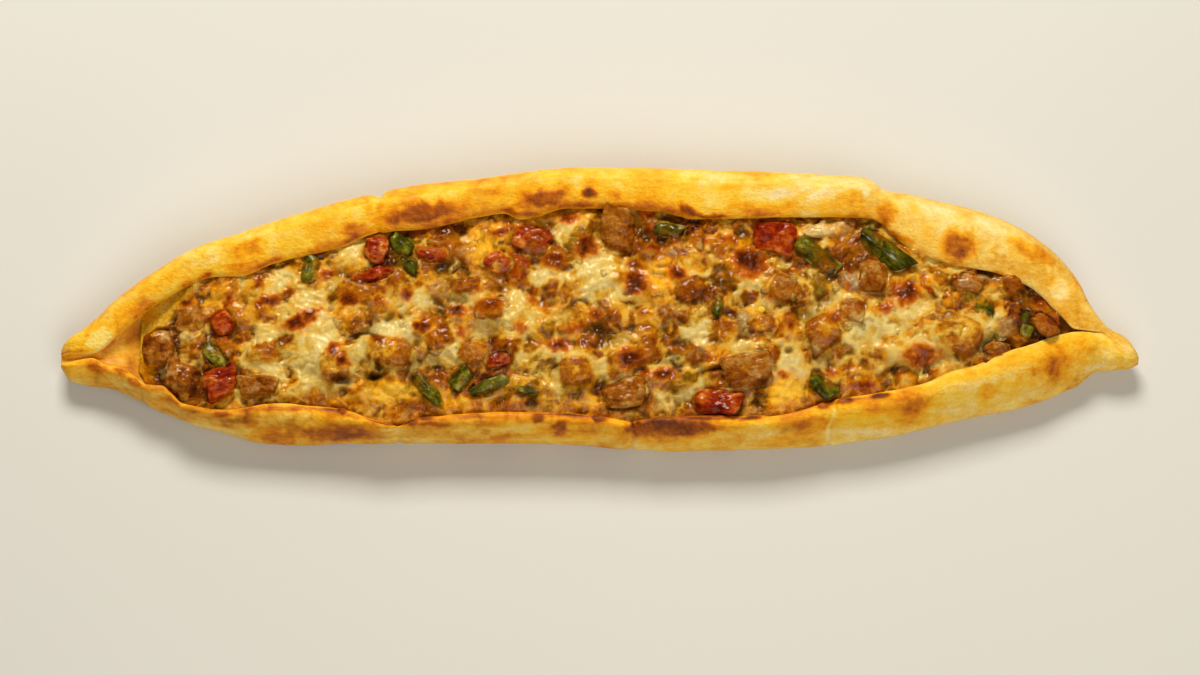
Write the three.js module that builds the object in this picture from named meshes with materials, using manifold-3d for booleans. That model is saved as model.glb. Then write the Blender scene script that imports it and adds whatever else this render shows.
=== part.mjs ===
// A boat-shaped baked flatbread, open along its top and filled with diced meat, tomato and
// green pepper. Millimetres, +Z up, X along the boat, -Y towards the near rim.
// The origin is the middle of the bounding box's base.
import * as THREE from "three";
import { mergeVertices } from "three/addons/utils/BufferGeometryUtils.js";
import Module from "manifold-3d";

const wasm = await Module();
wasm.setup();

// Driving dimensions
const LENGTH = 431;
const DOUGH = 4.8;
const FLOOR = 5;
const GAP = 0.4;
const WALL_GAP = 0.6;
const STATION_STEP = 8.6;
const FILL_START = -184;
const FILL_END = 183;

// Plan outlines as [x, y]: the bread's outer edge and the edge of its lip, far side then near side
const FAR_EDGE = [
  [-215.5, -14.6], [-213.6, -12.9], [-208, -9.2], [-201.2, -3.3], [-194.8, 3.1], [-180, 14],
  [-164, 23.7], [-142, 31.9], [-120.5, 38.9], [-89, 47.6], [-47, 53.7], [-6.5, 57.8],
  [44, 56.7], [88, 54.6], [104, 53.6], [114, 50.7], [124, 47.7], [155, 38.7], [170, 32.1],
  [184, 22], [190, 14.3], [192, 11], [194, 5.9], [196, 1.8], [199, -3.1], [203.5, -8],
  [208, -10], [211, -12.1], [213.6, -14.9], [215.5, -17.3],
];
const FAR_LIP = [
  [-215.5, -18.9], [-202.5, -19.2], [-189.5, -9.5], [-175, 1.5], [-154, 10.6], [-143.5, 10.4],
  [-130.5, 15.3], [-102, 22.8], [-89, 28], [-72, 29.2], [-38, 35.7], [-32, 33.6],
  [-12.5, 38.1], [23, 36.8], [37.5, 33.3], [84, 34.3], [106.5, 33.8], [125, 20.5], [140, 14.9],
  [156.5, 11.6], [171, 6.3], [176, 2.7], [184, -4.9], [188.5, -9.5], [194, -10.1], [200, -10.7],
  [208, -16.1], [215.5, -19.5],
];
const NEAR_LIP = [
  [-215.5, -23.9], [-202.5, -21.3], [-196, -24.7], [-190, -25.9], [-179.5, -32.5], [-174, -32.7],
  [-165, -40.1], [-148.5, -42.8], [-128, -40.4], [-103, -42.9], [-80, -49.1], [-70.5, -46],
  [-29, -44.4], [-1, -45.4], [13, -47.7], [26, -46.1], [62.5, -45.9], [95, -38.8], [129, -32],
  [138, -27.9], [149, -25.3], [164, -18.6], [172.5, -16.1], [180, -12.9], [188, -11.3],
  [194, -11.1], [200, -11.9], [208, -19.5], [215.5, -21.7],
];
const NEAR_EDGE = [
  [-215.5, -26.1], [-212, -29.3], [-204, -31.3], [-195, -32.9], [-184, -37.7], [-172, -43.3],
  [-165, -46.1], [-152, -50.2], [-130, -55.5], [-88, -54.9], [-27, -54.6], [26, -57.8],
  [78, -56.7], [108, -53.4], [151, -44.1], [172, -39.5], [180, -36.7], [188, -33.1],
  [191, -31.9], [196, -27.5], [200, -25.3], [203.5, -25.5], [208, -24.7], [212, -24.3], [215.5, -23.5],
];

// Heights along the boat as [x, z]
const FAR_CREST = [
  [-215.5, 15], [-196, 18.5], [-165, 23], [-120, 26], [0, 27], [120, 27.5], [165, 25], [190, 19],
  [215.5, 13.5],
];
const NEAR_CREST = [
  [-215.5, 14], [-196, 16.5], [-165, 19], [-120, 21.5], [0, 22], [120, 22.5], [165, 22], [190, 18.5],
  [215.5, 13.5],
];
const UNDERSIDE = [[-215.5, 4.5], [-190, 2], [-160, 0], [160, 0], [190, 1.6], [215.5, 4]];
const OPEN = [[-203, 0], [-166, 1], [170, 1], [189, 0]];
const SEAM_DEPTH = [[-215.5, 3], [-200, 3], [186, 2.6], [195, 1.6], [201, 0.2], [215.5, 0.05]];
const FAR_DROOP = [[-203, 1.8], [-166, 4], [170, 4], [189, 1.8], [197, 1.6], [205, 0.3]];
const NEAR_NOTCH = [[188, 1], [197, 1.2], [205, 0.1]];
const FILL_EDGE = [
  [-184, 11.4], [-176, 12.6], [-162, 14.6], [-120, 16.2], [0, 16.6], [120, 16.4], [165, 15.4],
  [183, 14.2],
];
const MOUND = [[-184, 0.6], [-165, 1.6], [-120, 3.2], [0, 3.8], [130, 3.4], [170, 1.8], [183, 0.8]];

// Pinched creases of the rim: side, x, how deep and how long along the rim
const CREASES = [
  { side: 1, x: -89, depth: 1.6, reach: 3 },
  { side: 1, x: 116, depth: 1.8, reach: 5 },
  { side: -1, x: -79, depth: 1.6, reach: 4 },
  { side: -1, x: 12.5, depth: 1.8, reach: 3 },
  { side: -1, x: 91, depth: 1.2, reach: 3 },
];

// Toppings that stand out of the filling: x, y, length, width, height, turn and bend in degrees
const MEAT = [
  [-176, -17.7, 13, 15, 11, 10, 0], [-165.4, -29.9, 13.6, 11.2, 11, -20, 0],
  [-135, -33.3, 15, 8, 8.5, 4, 0], [-105, -25.7, 12, 13.5, 10, 12, 0],
  [-83.5, -20.4, 18, 11.5, 9.5, -14, 0], [-63.5, -15.4, 12, 9, 8.5, 24, 0],
  [-43.8, -3.4, 11.5, 8.5, 8.5, -4, 0], [-51, -20.7, 11, 9, 8.5, -12, 0],
  [-93.4, 2.1, 12, 8.4, 8, -18, 0], [7.8, 27.7, 12, 14.5, 10.5, -6, 0],
  [-9.6, -28.1, 13, 12.5, 10, 8, 0], [9.8, -36.3, 16.5, 10.5, 10, 12, 0],
  [73.6, 4.9, 13, 10, 9.5, -34, 0], [58.2, -27.7, 18.5, 13.5, 11, 6, 0],
  [88.2, -12.9, 13.5, 14, 10.5, 30, 0], [108.8, 10.1, 11.5, 12.5, 10.5, -6, 0],
  [142, -13.1, 19.5, 15.5, 11, -22, 0], [64.5, -9.5, 11, 7, 7.5, 12, 0],
  [176.6, -8.5, 10, 7.5, 7.5, -34, 0], [36, 4.5, 13, 10, 9, 28, 0],
  [146, 7.7, 14, 6.5, 7.5, -14, 0], [-96.4, -8.3, 9.6, 7.4, 7, 20, 0],
  [-53.6, 6.5, 12, 6, 7, 10, 0], [99.6, -3.3, 9.8, 9.4, 8, -10, 0],
  [157, -18.3, 11, 5.6, 6.5, 12, 0], [37.6, 26.5, 7.4, 11.5, 8, -8, 0],
];
const TOMATO = [
  [-150, -8.1, 9, 9.5, 6.5, 30, 0], [-150.4, -32.3, 12.5, 12.5, 8.5, 12, 0],
  [-89.6, 21.3, 8.6, 9.6, 7.5, -12, 0], [-90.2, 11.1, 17, 6, 6, 15, 26],
  [-67, 19.7, 12, 6.5, 6, 4, 0], [-27.4, 24.7, 14.5, 11.5, 7.5, -8, 0],
  [-41, 15.7, 10.5, 10.5, 7, 42, 0], [-40.4, -23.3, 9.5, 6, 6, 20, 0],
  [69.4, 26.3, 16, 12.5, 8.5, -4, 0], [46.6, -39.9, 17.5, 9.5, 8, -2, 0],
];
const ONION = [[91, 29.7, 18, 6, 6, 3, 14], [160, -10.3, 8.8, 7.6, 6, 30, 0]];
const PEPPER = [
  [-153, -21.1, 11.5, 6, 4.8, -48, 0], [-115.6, 13.3, 10.5, 7, 5, 78, 0],
  [-79.6, 23.5, 10.5, 6, 5, -48, 20], [-76.4, 14.7, 9, 5.4, 4.6, -26, 0],
  [-69.4, -33.9, 13, 5, 4.8, -52, 50], [-55, -31.1, 8.8, 6.6, 5, 52, 0],
  [-44, -33.5, 14.5, 5, 4.8, 24, -16], [-29.4, -33.7, 11.5, 6.6, 5, -8, 0],
  [86.4, 18.3, 19.5, 7.6, 5.4, -40, 12], [88, -33.7, 11, 7, 5.4, -30, 0],
  [113.6, 21.3, 20, 8.4, 6, -39, 0], [150.4, -0.3, 13, 7, 5, -22, 0],
  [168.4, -7.9, 9, 4, 4.4, 82, 0], [27, 29.5, 10.5, 5.6, 4.6, -10, 0],
  [46.8, -1.9, 9.5, 3.8, 4.4, 84, 10],
];

// Small pieces under berry size, part of the filling: the same columns
const SMALL_PIECES = [
  [-98.6, 17.7, 7, 6, 5.5, 20, 0], [-23.6, -39.5, 9, 5, 5.5, 0, 0], [20, -12.9, 8, 5, 5, 14, 0],
  [56.2, 28.9, 7, 7, 5.5, 0, 0], [-141.8, -22.9, 8, 5, 4.5, -34, 0], [30.2, 16.7, 8, 5, 4.5, 0, 0],
  [74.6, 15.7, 7.5, 5, 4.5, -20, 0], [134.6, 2.7, 8, 4, 4.2, -18, 0], [-78, -41.5, 8, 5, 4.5, 6, 0],
];

// The bumps of diced meat in the filling's top
const LUMP_STEP = 13;
const LUMP_HEIGHT = 2.2;

const COLOURS = {
  crust: 0xe3a545,
  filling: 0x9c6a3c,
  meat: 0x8a5a3a,
  tomato: 0xb5301a,
  pepper: 0x5f7a2a,
  onion: 0xe4d09a,
};

const clamp = THREE.MathUtils.clamp;
const lerp = THREE.MathUtils.lerp;
const radians = THREE.MathUtils.degToRad;

// A smooth curve through [x, value] pairs that never overshoots them
function through(pairs) {
  const run = pairs.slice(1).map((p, i) => p[0] - pairs[i][0]);
  const slope = pairs.slice(1).map((p, i) => (p[1] - pairs[i][1]) / run[i]);
  const tangent = pairs.map((p, i) => {
    if (i === 0) return slope[0];
    if (i === pairs.length - 1) return slope[i - 1];
    if (slope[i - 1] * slope[i] <= 0) return 0;
    const before = 2 * run[i] + run[i - 1];
    const after = run[i] + 2 * run[i - 1];
    return (before + after) / (before / slope[i - 1] + after / slope[i]);
  });
  return (at) => {
    const x = clamp(at, pairs[0][0], pairs[pairs.length - 1][0]);
    let i = 0;
    while (i < run.length - 1 && x > pairs[i + 1][0]) i += 1;
    const t = (x - pairs[i][0]) / run[i];
    const rise = pairs[i + 1][1] - pairs[i][1];
    const start = run[i] * tangent[i];
    const end = run[i] * tangent[i + 1];
    return pairs[i][1] + t * (start + t * (3 * rise - 2 * start - end + t * (start + end - 2 * rise)));
  };
}

const farEdge = through(FAR_EDGE);
const farLip = through(FAR_LIP);
const nearLip = through(NEAR_LIP);
const nearEdge = through(NEAR_EDGE);
const farCrest = through(FAR_CREST);
const nearCrest = through(NEAR_CREST);
const underside = through(UNDERSIDE);
const openness = through(OPEN);
const seamDepth = through(SEAM_DEPTH);
const farDroop = through(FAR_DROOP);
const nearNotch = through(NEAR_NOTCH);
const fillEdge = through(FILL_EDGE);
const mound = through(MOUND);

// How far the creases pull the rim in at x, on the given side
function crease(side, x) {
  return CREASES.filter((c) => c.side === side)
    .map((c) => c.depth * Math.exp(-(((x - c.x) / c.reach) ** 2)))
    .reduce((a, b) => a + b, 0);
}

// The hollow's outline at x from the far lip's underside, over the floor, to the near lip's underside
function hollow(x) {
  const far = farEdge(x);
  const near = nearEdge(x);
  const lipFar = farLip(x);
  const lipNear = nearLip(x);
  const base = underside(x);
  const high = farCrest(x);
  const low = nearCrest(x);
  const fold = far - lipFar;
  const lean = lipNear - near;
  const floor = base + FLOOR;
  const middle = (lipFar + lipNear) / 2;
  const farCorner = far - DOUGH - 8.5;
  const nearCorner = near + DOUGH + 7.5;
  const open = [
    [lipFar + 0.07 * fold, high - 5.6],
    [lipFar + 0.34 * fold, high - 6.8],
    [far - DOUGH - 0.8, base + 0.48 * (high - base)],
    [far - DOUGH - 2.6, floor + 3.2],
    [farCorner, floor + 0.3],
    [lerp(middle, farCorner, 0.5), floor],
    [middle, floor],
    [lerp(middle, nearCorner, 0.5), floor],
    [nearCorner, floor + 0.3],
    [near + DOUGH + 1.8, floor + 3],
    [near + DOUGH + 0.12 * lean, base + 0.46 * (low - base)],
    [near + DOUGH * 0.8 + 0.36 * lean, base + 0.68 * (low - base)],
    [lipNear - 0.06 * lean, low - 3.4],
  ];
  const share = openness(x);
  const seam = seamDepth(x);
  return open.map(([y, z], i) => {
    const across = (i + 1) / (open.length + 1);
    const sealedY = lerp(lipFar, lipNear, across);
    const sealedZ = lerp(high - farDroop(x), low - nearNotch(x), across) - seam * Math.sin(Math.PI * across);
    return [lerp(sealedY, y, share), lerp(sealedZ, z, share)];
  });
}

// The bread's whole outline at x: the outside from base to far lip, the hollow, and down the near rim
function breadRing(x) {
  const far = farEdge(x) - crease(1, x);
  const foot = nearEdge(x);
  const near = foot + crease(-1, x);
  const lipFar = farLip(x);
  const lipNear = nearLip(x);
  const base = underside(x);
  const high = farCrest(x) - 0.6 * crease(1, x);
  const low = nearCrest(x) - 0.7 * crease(-1, x);
  const fold = far - lipFar;
  const lean = lipNear - near;
  const corner = Math.min(1, (far - near) / 60);
  const droop = farDroop(x);
  const ring = [
    [(lipFar + lipNear) / 2, base],
    [far - 10 * corner, base],
    [far - 3 * corner, base + 0.13 * (high - base)],
    [far, base + 0.42 * (high - base)],
    [far - 0.1 * fold, base + 0.78 * (high - base)],
    [far - 0.34 * fold, high],
    [lipFar + 0.38 * fold, high - 0.18 * droop],
    [lipFar + 0.12 * fold, high - 0.55 * droop],
    [lipFar, high - droop],
    ...hollow(x),
    [lipNear, low - nearNotch(x)],
    [near + 0.8 * lean, low],
    [near + 0.58 * lean, low - 1.2],
    [near + 0.26 * lean, base + 0.7 * (low - base)],
    [foot, base + 0.36 * (low - base)],
    [foot + 2.4 * corner, base + 0.1 * (low - base)],
    [foot + 8 * corner, base],
  ];
  const roundOver = 5;
  const past = clamp((Math.abs(x) - (LENGTH / 2 - roundOver)) / roundOver, 0, 1);
  const squeeze = Math.max(0.3, Math.sqrt(1 - past * past));
  const centreY = (far + near) / 2;
  const centreZ = (base + low) / 2;
  return ring.map(([y, z]) => [x, lerp(centreY, y, 0.6 + 0.4 * squeeze), lerp(centreZ, z, squeeze)]);
}

// Where the bread is cut into rings: evenly, closer at the tips and at each crease
function stations() {
  const half = LENGTH / 2;
  const tips = [0, 0.8, 2.4, 5, 9, 14, 20];
  const inner = half - tips[tips.length - 1];
  const count = Math.round((2 * inner) / STATION_STEP);
  const even = Array.from({ length: count + 1 }, (_, i) => -inner + (2 * inner * i) / count);
  const ends = tips.flatMap((d) => [d - half, half - d]);
  const pinches = CREASES.map((c) => c.x);
  const apart = even.filter((x) => pinches.every((p) => Math.abs(p - x) > 0.45 * STATION_STEP));
  const fill = [FILL_START, FILL_END];
  const all = [...apart, ...ends, ...pinches].filter((x) => fill.every((f) => Math.abs(f - x) > 3));
  return [...new Set([...all, ...fill])].sort((a, b) => a - b);
}

// Closed geometry from rings of equal length, with each end closed by a fan about its middle
function loft(rings) {
  const size = rings[0].length;
  const index = [];
  for (let i = 0; i < rings.length - 1; i += 1) {
    for (let j = 0; j < size; j += 1) {
      const a = i * size + j;
      const b = i * size + ((j + 1) % size);
      index.push(a, a + size, b + size, a, b + size, b);
    }
  }
  const last = (rings.length - 1) * size;
  const centre = rings.length * size;
  for (let j = 0; j < size; j += 1) {
    const next = (j + 1) % size;
    index.push(centre, j, next);
    index.push(centre + 1, last + next, last + j);
  }
  const middle = (ring) => ring.reduce((sum, p) => sum.map((v, axis) => v + p[axis] / size), [0, 0, 0]);
  const points = [...rings.flat(), middle(rings[0]), middle(rings[rings.length - 1])];
  const geometry = new THREE.BufferGeometry();
  geometry.setAttribute("position", new THREE.Float32BufferAttribute(points.flat(), 3));
  geometry.setIndex(index);
  return geometry;
}

// A three.js geometry as a solid, turned so that its faces point out
function solid(source) {
  const bare = source.clone();
  bare.deleteAttribute("normal");
  bare.deleteAttribute("uv");
  const merged = mergeVertices(bare, 1e-4);
  const vertProperties = new Float32Array(merged.attributes.position.array);
  const make = (triVerts) => new wasm.Manifold(new wasm.Mesh({ numProp: 3, vertProperties, triVerts }));
  const made = make(new Uint32Array(merged.index.array));
  return made.volume() >= 0 ? made : make(new Uint32Array(merged.index.array).reverse());
}

// A solid's largest body: booleans can leave loose scraps
function largest(made) {
  return made.decompose().reduce((a, b) => (b.volume() > a.volume() ? b : a));
}

// A repeatable number from 0 to 1 for two whole numbers and a seed
function draw(i, j, seed) {
  const wave = Math.sin(i * 127.1 + j * 311.7 + seed * 74.7) * 43758.5453;
  return wave - Math.floor(wave);
}

// Lumps of meat on a jittered grid: the height that the highest of them adds at a point
function lump(x, y) {
  const column = Math.floor(x / LUMP_STEP);
  const row = Math.floor(y / LUMP_STEP);
  let height = 0;
  for (let i = column - 1; i <= column + 1; i += 1) {
    for (let j = row - 1; j <= row + 1; j += 1) {
      const centreX = (i + 0.25 + 0.5 * draw(i, j, 1)) * LUMP_STEP;
      const centreY = (j + 0.25 + 0.5 * draw(i, j, 2)) * LUMP_STEP;
      const reach = LUMP_STEP * (0.42 + 0.2 * draw(i, j, 3));
      const off = Math.hypot(x - centreX, y - centreY) / reach;
      height = Math.max(height, (0.5 + 0.5 * draw(i, j, 4)) * Math.max(0, 1 - off * off));
    }
  }
  return LUMP_HEIGHT * height;
}

// Where the hollow's wall stands at height z: side 1 is far, -1 near
function wall(x, z, side) {
  const line = side > 0 ? hollow(x).slice(0, 7).reverse() : hollow(x).slice(6);
  const at = line.findIndex((p) => p[1] > z);
  if (at <= 0) return line[line.length - 1][0];
  const [low, high] = [line[at - 1], line[at]];
  return lerp(low[0], high[0], (z - low[1]) / (high[1] - low[1]));
}

// The filling's top at x and a share across it from -1, the near wall, to 1, the far wall
function fillTop(x, share) {
  const farY = wall(x, fillEdge(x), 1) - WALL_GAP;
  const nearY = wall(x, fillEdge(x), -1) + WALL_GAP;
  const y = lerp(nearY, farY, (share + 1) / 2);
  const rise = mound(x) * (1 - share * share) + lump(x, y) * (1 - share ** 6);
  return [x, y, fillEdge(x) + rise];
}

// The filling's top at any x and y, for standing pieces on it
function fillHeight(x, y) {
  const farY = fillTop(x, 1)[1];
  const nearY = fillTop(x, -1)[1];
  return fillTop(x, clamp((2 * (y - nearY)) / (farY - nearY) - 1, -1, 1))[2];
}

const ACROSS = 12;
const UNDER = 7;

// The filling's outline at x: its top, then back along the hollow a little inside the bread
function fillRing(x) {
  const top = Array.from({ length: ACROSS + 1 }, (_, i) => fillTop(x, -1 + (2 * i) / ACROSS));
  const middle = (top[0][1] + top[ACROSS][1]) / 2;
  const level = fillEdge(x);
  const inset = ([y, z]) => [x, y + Math.sign(middle - y) * WALL_GAP, z + WALL_GAP];
  const line = hollow(x).filter((p) => p[1] + WALL_GAP < level - 0.5).map(inset);
  const path = [top[ACROSS], ...line, top[0]];
  const reach = [0];
  for (let i = 1; i < path.length; i += 1) {
    reach.push(reach[i - 1] + Math.hypot(path[i][1] - path[i - 1][1], path[i][2] - path[i - 1][2]));
  }
  const below = Array.from({ length: UNDER }, (_, k) => {
    const goal = (reach[reach.length - 1] * (k + 1)) / (UNDER + 1);
    const i = Math.max(1, reach.findIndex((r) => r >= goal));
    const t = (goal - reach[i - 1]) / (reach[i] - reach[i - 1]);
    return path[i].map((v, axis) => lerp(path[i - 1][axis], v, t));
  });
  return [...top, ...below];
}

// A point of a 2 mm cube moved onto a rounded block with uneven sides
function rounded(point, style, x, y) {
  const power = style.square;
  const norm = Math.abs(point.x) ** power + Math.abs(point.y) ** power + Math.abs(point.z) ** power;
  point.divideScalar(norm ** (1 / power));
  const wave = Math.sin(2.1 * point.x + 3.3 * point.y + x) * Math.cos(2.7 * point.y - 1.9 * point.z + y);
  return point.multiplyScalar(1 + style.uneven * wave);
}

// A point bent about a radius beyond its +Y side
function bent(point, radius) {
  const angle = point.x / radius;
  const reach = radius - point.y;
  return point.set(reach * Math.sin(angle), radius - reach * Math.cos(angle), point.z);
}

// A diced or cut piece, seated on the filling, and grown all round by the given margin
function piece([x, y, length, width, height, turn, bend], style, grow) {
  const geometry = new THREE.BoxGeometry(2, 2, 2, ...style.parts);
  const half = new THREE.Vector3(length, width, height).divideScalar(2).addScalar(grow);
  const position = geometry.attributes.position;
  const point = new THREE.Vector3();
  for (let i = 0; i < position.count; i += 1) {
    rounded(point.fromBufferAttribute(position, i), style, x, y).multiply(half);
    if (bend) bent(point, length / radians(bend));
    position.setXYZ(i, point.x, point.y, point.z);
  }
  geometry.rotateY(radians(style.tilt * Math.sin(7 * x)));
  geometry.rotateZ(radians(turn));
  return geometry.translate(x, y, fillHeight(x, y) + style.seat * height);
}

const STYLES = {
  meat: { parts: [2, 2, 2], square: 4.5, uneven: 0.07, tilt: 9, seat: 0.16 },
  tomato: { parts: [2, 2, 2], square: 3.2, uneven: 0.06, tilt: 8, seat: 0.24 },
  pepper: { parts: [3, 2, 1], square: 5, uneven: 0.05, tilt: 6, seat: 0.42 },
  onion: { parts: [3, 2, 1], square: 3.4, uneven: 0.05, tilt: 6, seat: 0.3 },
  small: { parts: [2, 2, 1], square: 3.5, uneven: 0.05, tilt: 5, seat: 0.3 },
};

// A named mesh from a solid's own triangles
function mesh(name, made, material) {
  const { vertProperties, triVerts } = made.getMesh();
  const geometry = new THREE.BufferGeometry();
  geometry.setAttribute("position", new THREE.BufferAttribute(new Float32Array(vertProperties), 3));
  geometry.setIndex(new THREE.BufferAttribute(new Uint32Array(triVerts), 1));
  geometry.computeVertexNormals();
  const built = new THREE.Mesh(geometry, material);
  built.name = name;
  return built;
}

function finish(colour, roughness) {
  return new THREE.MeshStandardMaterial({ color: colour, roughness, metalness: 0 });
}

function build() {
  const xs = stations();
  const inFill = xs.filter((x) => x >= FILL_START && x <= FILL_END);
  const bread = solid(loft(xs.map(breadRing)));
  const kinds = { meat: MEAT, tomato: TOMATO, pepper: PEPPER, onion: ONION };
  const toppings = Object.entries(kinds).flatMap(([kind, rows]) =>
    rows.map((row, i) => ({
      name: `${kind}_${String(i + 1).padStart(2, "0")}`,
      kind,
      body: solid(piece(row, STYLES[kind], 0)),
      pocket: solid(piece(row, STYLES[kind], GAP)),
    })),
  );
  const pockets = wasm.Manifold.union(toppings.map((t) => t.pocket));
  const smalls = SMALL_PIECES.map((row) => solid(piece(row, STYLES.small, 0)));
  const bed = solid(loft(inFill.map(fillRing)));
  const filling = largest(wasm.Manifold.union([bed, ...smalls]).subtract(pockets));

  const group = new THREE.Group();
  group.add(mesh("crust", bread, finish(COLOURS.crust, 0.6)));
  group.add(mesh("filling", filling, finish(COLOURS.filling, 0.5)));
  const materials = Object.fromEntries(Object.keys(kinds).map((k) => [k, finish(COLOURS[k], 0.4)]));
  toppings.forEach((t) => group.add(mesh(t.name, t.body, materials[t.kind])));
  return group;
}

export default build();
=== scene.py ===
"""A boat-shaped baked flatbread, open along its top, with diced meat, tomato, green pepper and melted cheese.

Shapes are worked out in millimetres, in the frame of the solids: X along the boat, +Y to the wide rolled rim, +Z up.
"""

import math
from collections import namedtuple

import bpy
import numpy as np
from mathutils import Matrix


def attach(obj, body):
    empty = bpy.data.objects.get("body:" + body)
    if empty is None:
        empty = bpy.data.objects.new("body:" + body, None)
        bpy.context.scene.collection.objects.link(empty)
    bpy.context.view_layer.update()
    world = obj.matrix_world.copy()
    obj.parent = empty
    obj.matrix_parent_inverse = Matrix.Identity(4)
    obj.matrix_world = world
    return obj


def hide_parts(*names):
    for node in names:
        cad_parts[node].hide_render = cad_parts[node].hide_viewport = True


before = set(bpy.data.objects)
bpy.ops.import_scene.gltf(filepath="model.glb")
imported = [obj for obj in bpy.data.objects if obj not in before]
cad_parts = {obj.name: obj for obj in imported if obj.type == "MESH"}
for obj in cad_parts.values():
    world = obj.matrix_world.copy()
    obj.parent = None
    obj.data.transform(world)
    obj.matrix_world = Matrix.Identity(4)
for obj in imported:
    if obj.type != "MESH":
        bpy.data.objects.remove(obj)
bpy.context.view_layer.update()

# ---- the solids' driving dimensions

LENGTH = 431.0
DOUGH = 4.8
FLOOR = 5.0
WALL_GAP = 0.6
FILL_START, FILL_END = -184.0, 183.0
LUMP_STEP, LUMP_HEIGHT = 13.0, 2.2

# Plan outlines as (x, y): the bread's outer edge and the edge of its lip, far side then near side
FAR_EDGE = [
    (-215.5, -14.6), (-213.6, -12.9), (-208, -9.2), (-201.2, -3.3), (-194.8, 3.1), (-180, 14),
    (-164, 23.7), (-142, 31.9), (-120.5, 38.9), (-89, 47.6), (-47, 53.7), (-6.5, 57.8), (44, 56.7),
    (88, 54.6), (104, 53.6), (114, 50.7), (124, 47.7), (155, 38.7), (170, 32.1), (184, 22), (190, 14.3),
    (192, 11), (194, 5.9), (196, 1.8), (199, -3.1), (203.5, -8), (208, -10), (211, -12.1), (213.6, -14.9),
    (215.5, -17.3),
]
FAR_LIP = [
    (-215.5, -18.9), (-202.5, -19.2), (-189.5, -9.5), (-175, 1.5), (-154, 10.6), (-143.5, 10.4),
    (-130.5, 15.3), (-102, 22.8), (-89, 28), (-72, 29.2), (-38, 35.7), (-32, 33.6), (-12.5, 38.1),
    (23, 36.8), (37.5, 33.3), (84, 34.3), (106.5, 33.8), (125, 20.5), (140, 14.9), (156.5, 11.6), (171, 6.3),
    (176, 2.7), (184, -4.9), (188.5, -9.5), (194, -10.1), (200, -10.7), (208, -16.1), (215.5, -19.5),
]
NEAR_LIP = [
    (-215.5, -23.9), (-202.5, -21.3), (-196, -24.7), (-190, -25.9), (-179.5, -32.5), (-174, -32.7),
    (-165, -40.1), (-148.5, -42.8), (-128, -40.4), (-103, -42.9), (-80, -49.1), (-70.5, -46), (-29, -44.4),
    (-1, -45.4), (13, -47.7), (26, -46.1), (62.5, -45.9), (95, -38.8), (129, -32), (138, -27.9), (149, -25.3),
    (164, -18.6), (172.5, -16.1), (180, -12.9), (188, -11.3), (194, -11.1), (200, -11.9), (208, -19.5),
    (215.5, -21.7),
]
NEAR_EDGE = [
    (-215.5, -26.1), (-212, -29.3), (-204, -31.3), (-195, -32.9), (-184, -37.7), (-172, -43.3), (-165, -46.1),
    (-152, -50.2), (-130, -55.5), (-88, -54.9), (-27, -54.6), (26, -57.8), (78, -56.7), (108, -53.4),
    (151, -44.1), (172, -39.5), (180, -36.7), (188, -33.1), (191, -31.9), (196, -27.5), (200, -25.3),
    (203.5, -25.5), (208, -24.7), (212, -24.3), (215.5, -23.5),
]

# Heights along the boat as (x, z)
FAR_CREST = [
    (-215.5, 15), (-196, 18.5), (-165, 23), (-120, 26), (0, 27), (120, 27.5), (165, 25), (190, 19),
    (215.5, 13.5),
]
NEAR_CREST = [
    (-215.5, 14), (-196, 16.5), (-165, 19), (-120, 21.5), (0, 22), (120, 22.5), (165, 22), (190, 18.5),
    (215.5, 13.5),
]
UNDERSIDE = [(-215.5, 4.5), (-190, 2), (-160, 0), (160, 0), (190, 1.6), (215.5, 4)]
OPEN = [(-203, 0), (-166, 1), (170, 1), (189, 0)]
SEAM_DEPTH = [(-215.5, 3), (-200, 3), (186, 2.6), (195, 1.6), (201, 0.2), (215.5, 0.05)]
FAR_DROOP = [(-203, 1.8), (-166, 4), (170, 4), (189, 1.8), (197, 1.6), (205, 0.3)]
NEAR_NOTCH = [(188, 1), (197, 1.2), (205, 0.1)]
FILL_EDGE = [
    (-184, 11.4), (-176, 12.6), (-162, 14.6), (-120, 16.2), (0, 16.6), (120, 16.4), (165, 15.4),
    (183, 14.2),
]
MOUND = [(-184, 0.6), (-165, 1.6), (-120, 3.2), (0, 3.8), (130, 3.4), (170, 1.8), (183, 0.8)]

# Pinched creases of the rim: side, x, how deep and how long along the rim
CREASES = [
    (1, -89, 1.6, 3), (1, 116, 1.8, 5),
    (-1, -79, 1.6, 4), (-1, 12.5, 1.8, 3), (-1, 91, 1.2, 3),
]

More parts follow.
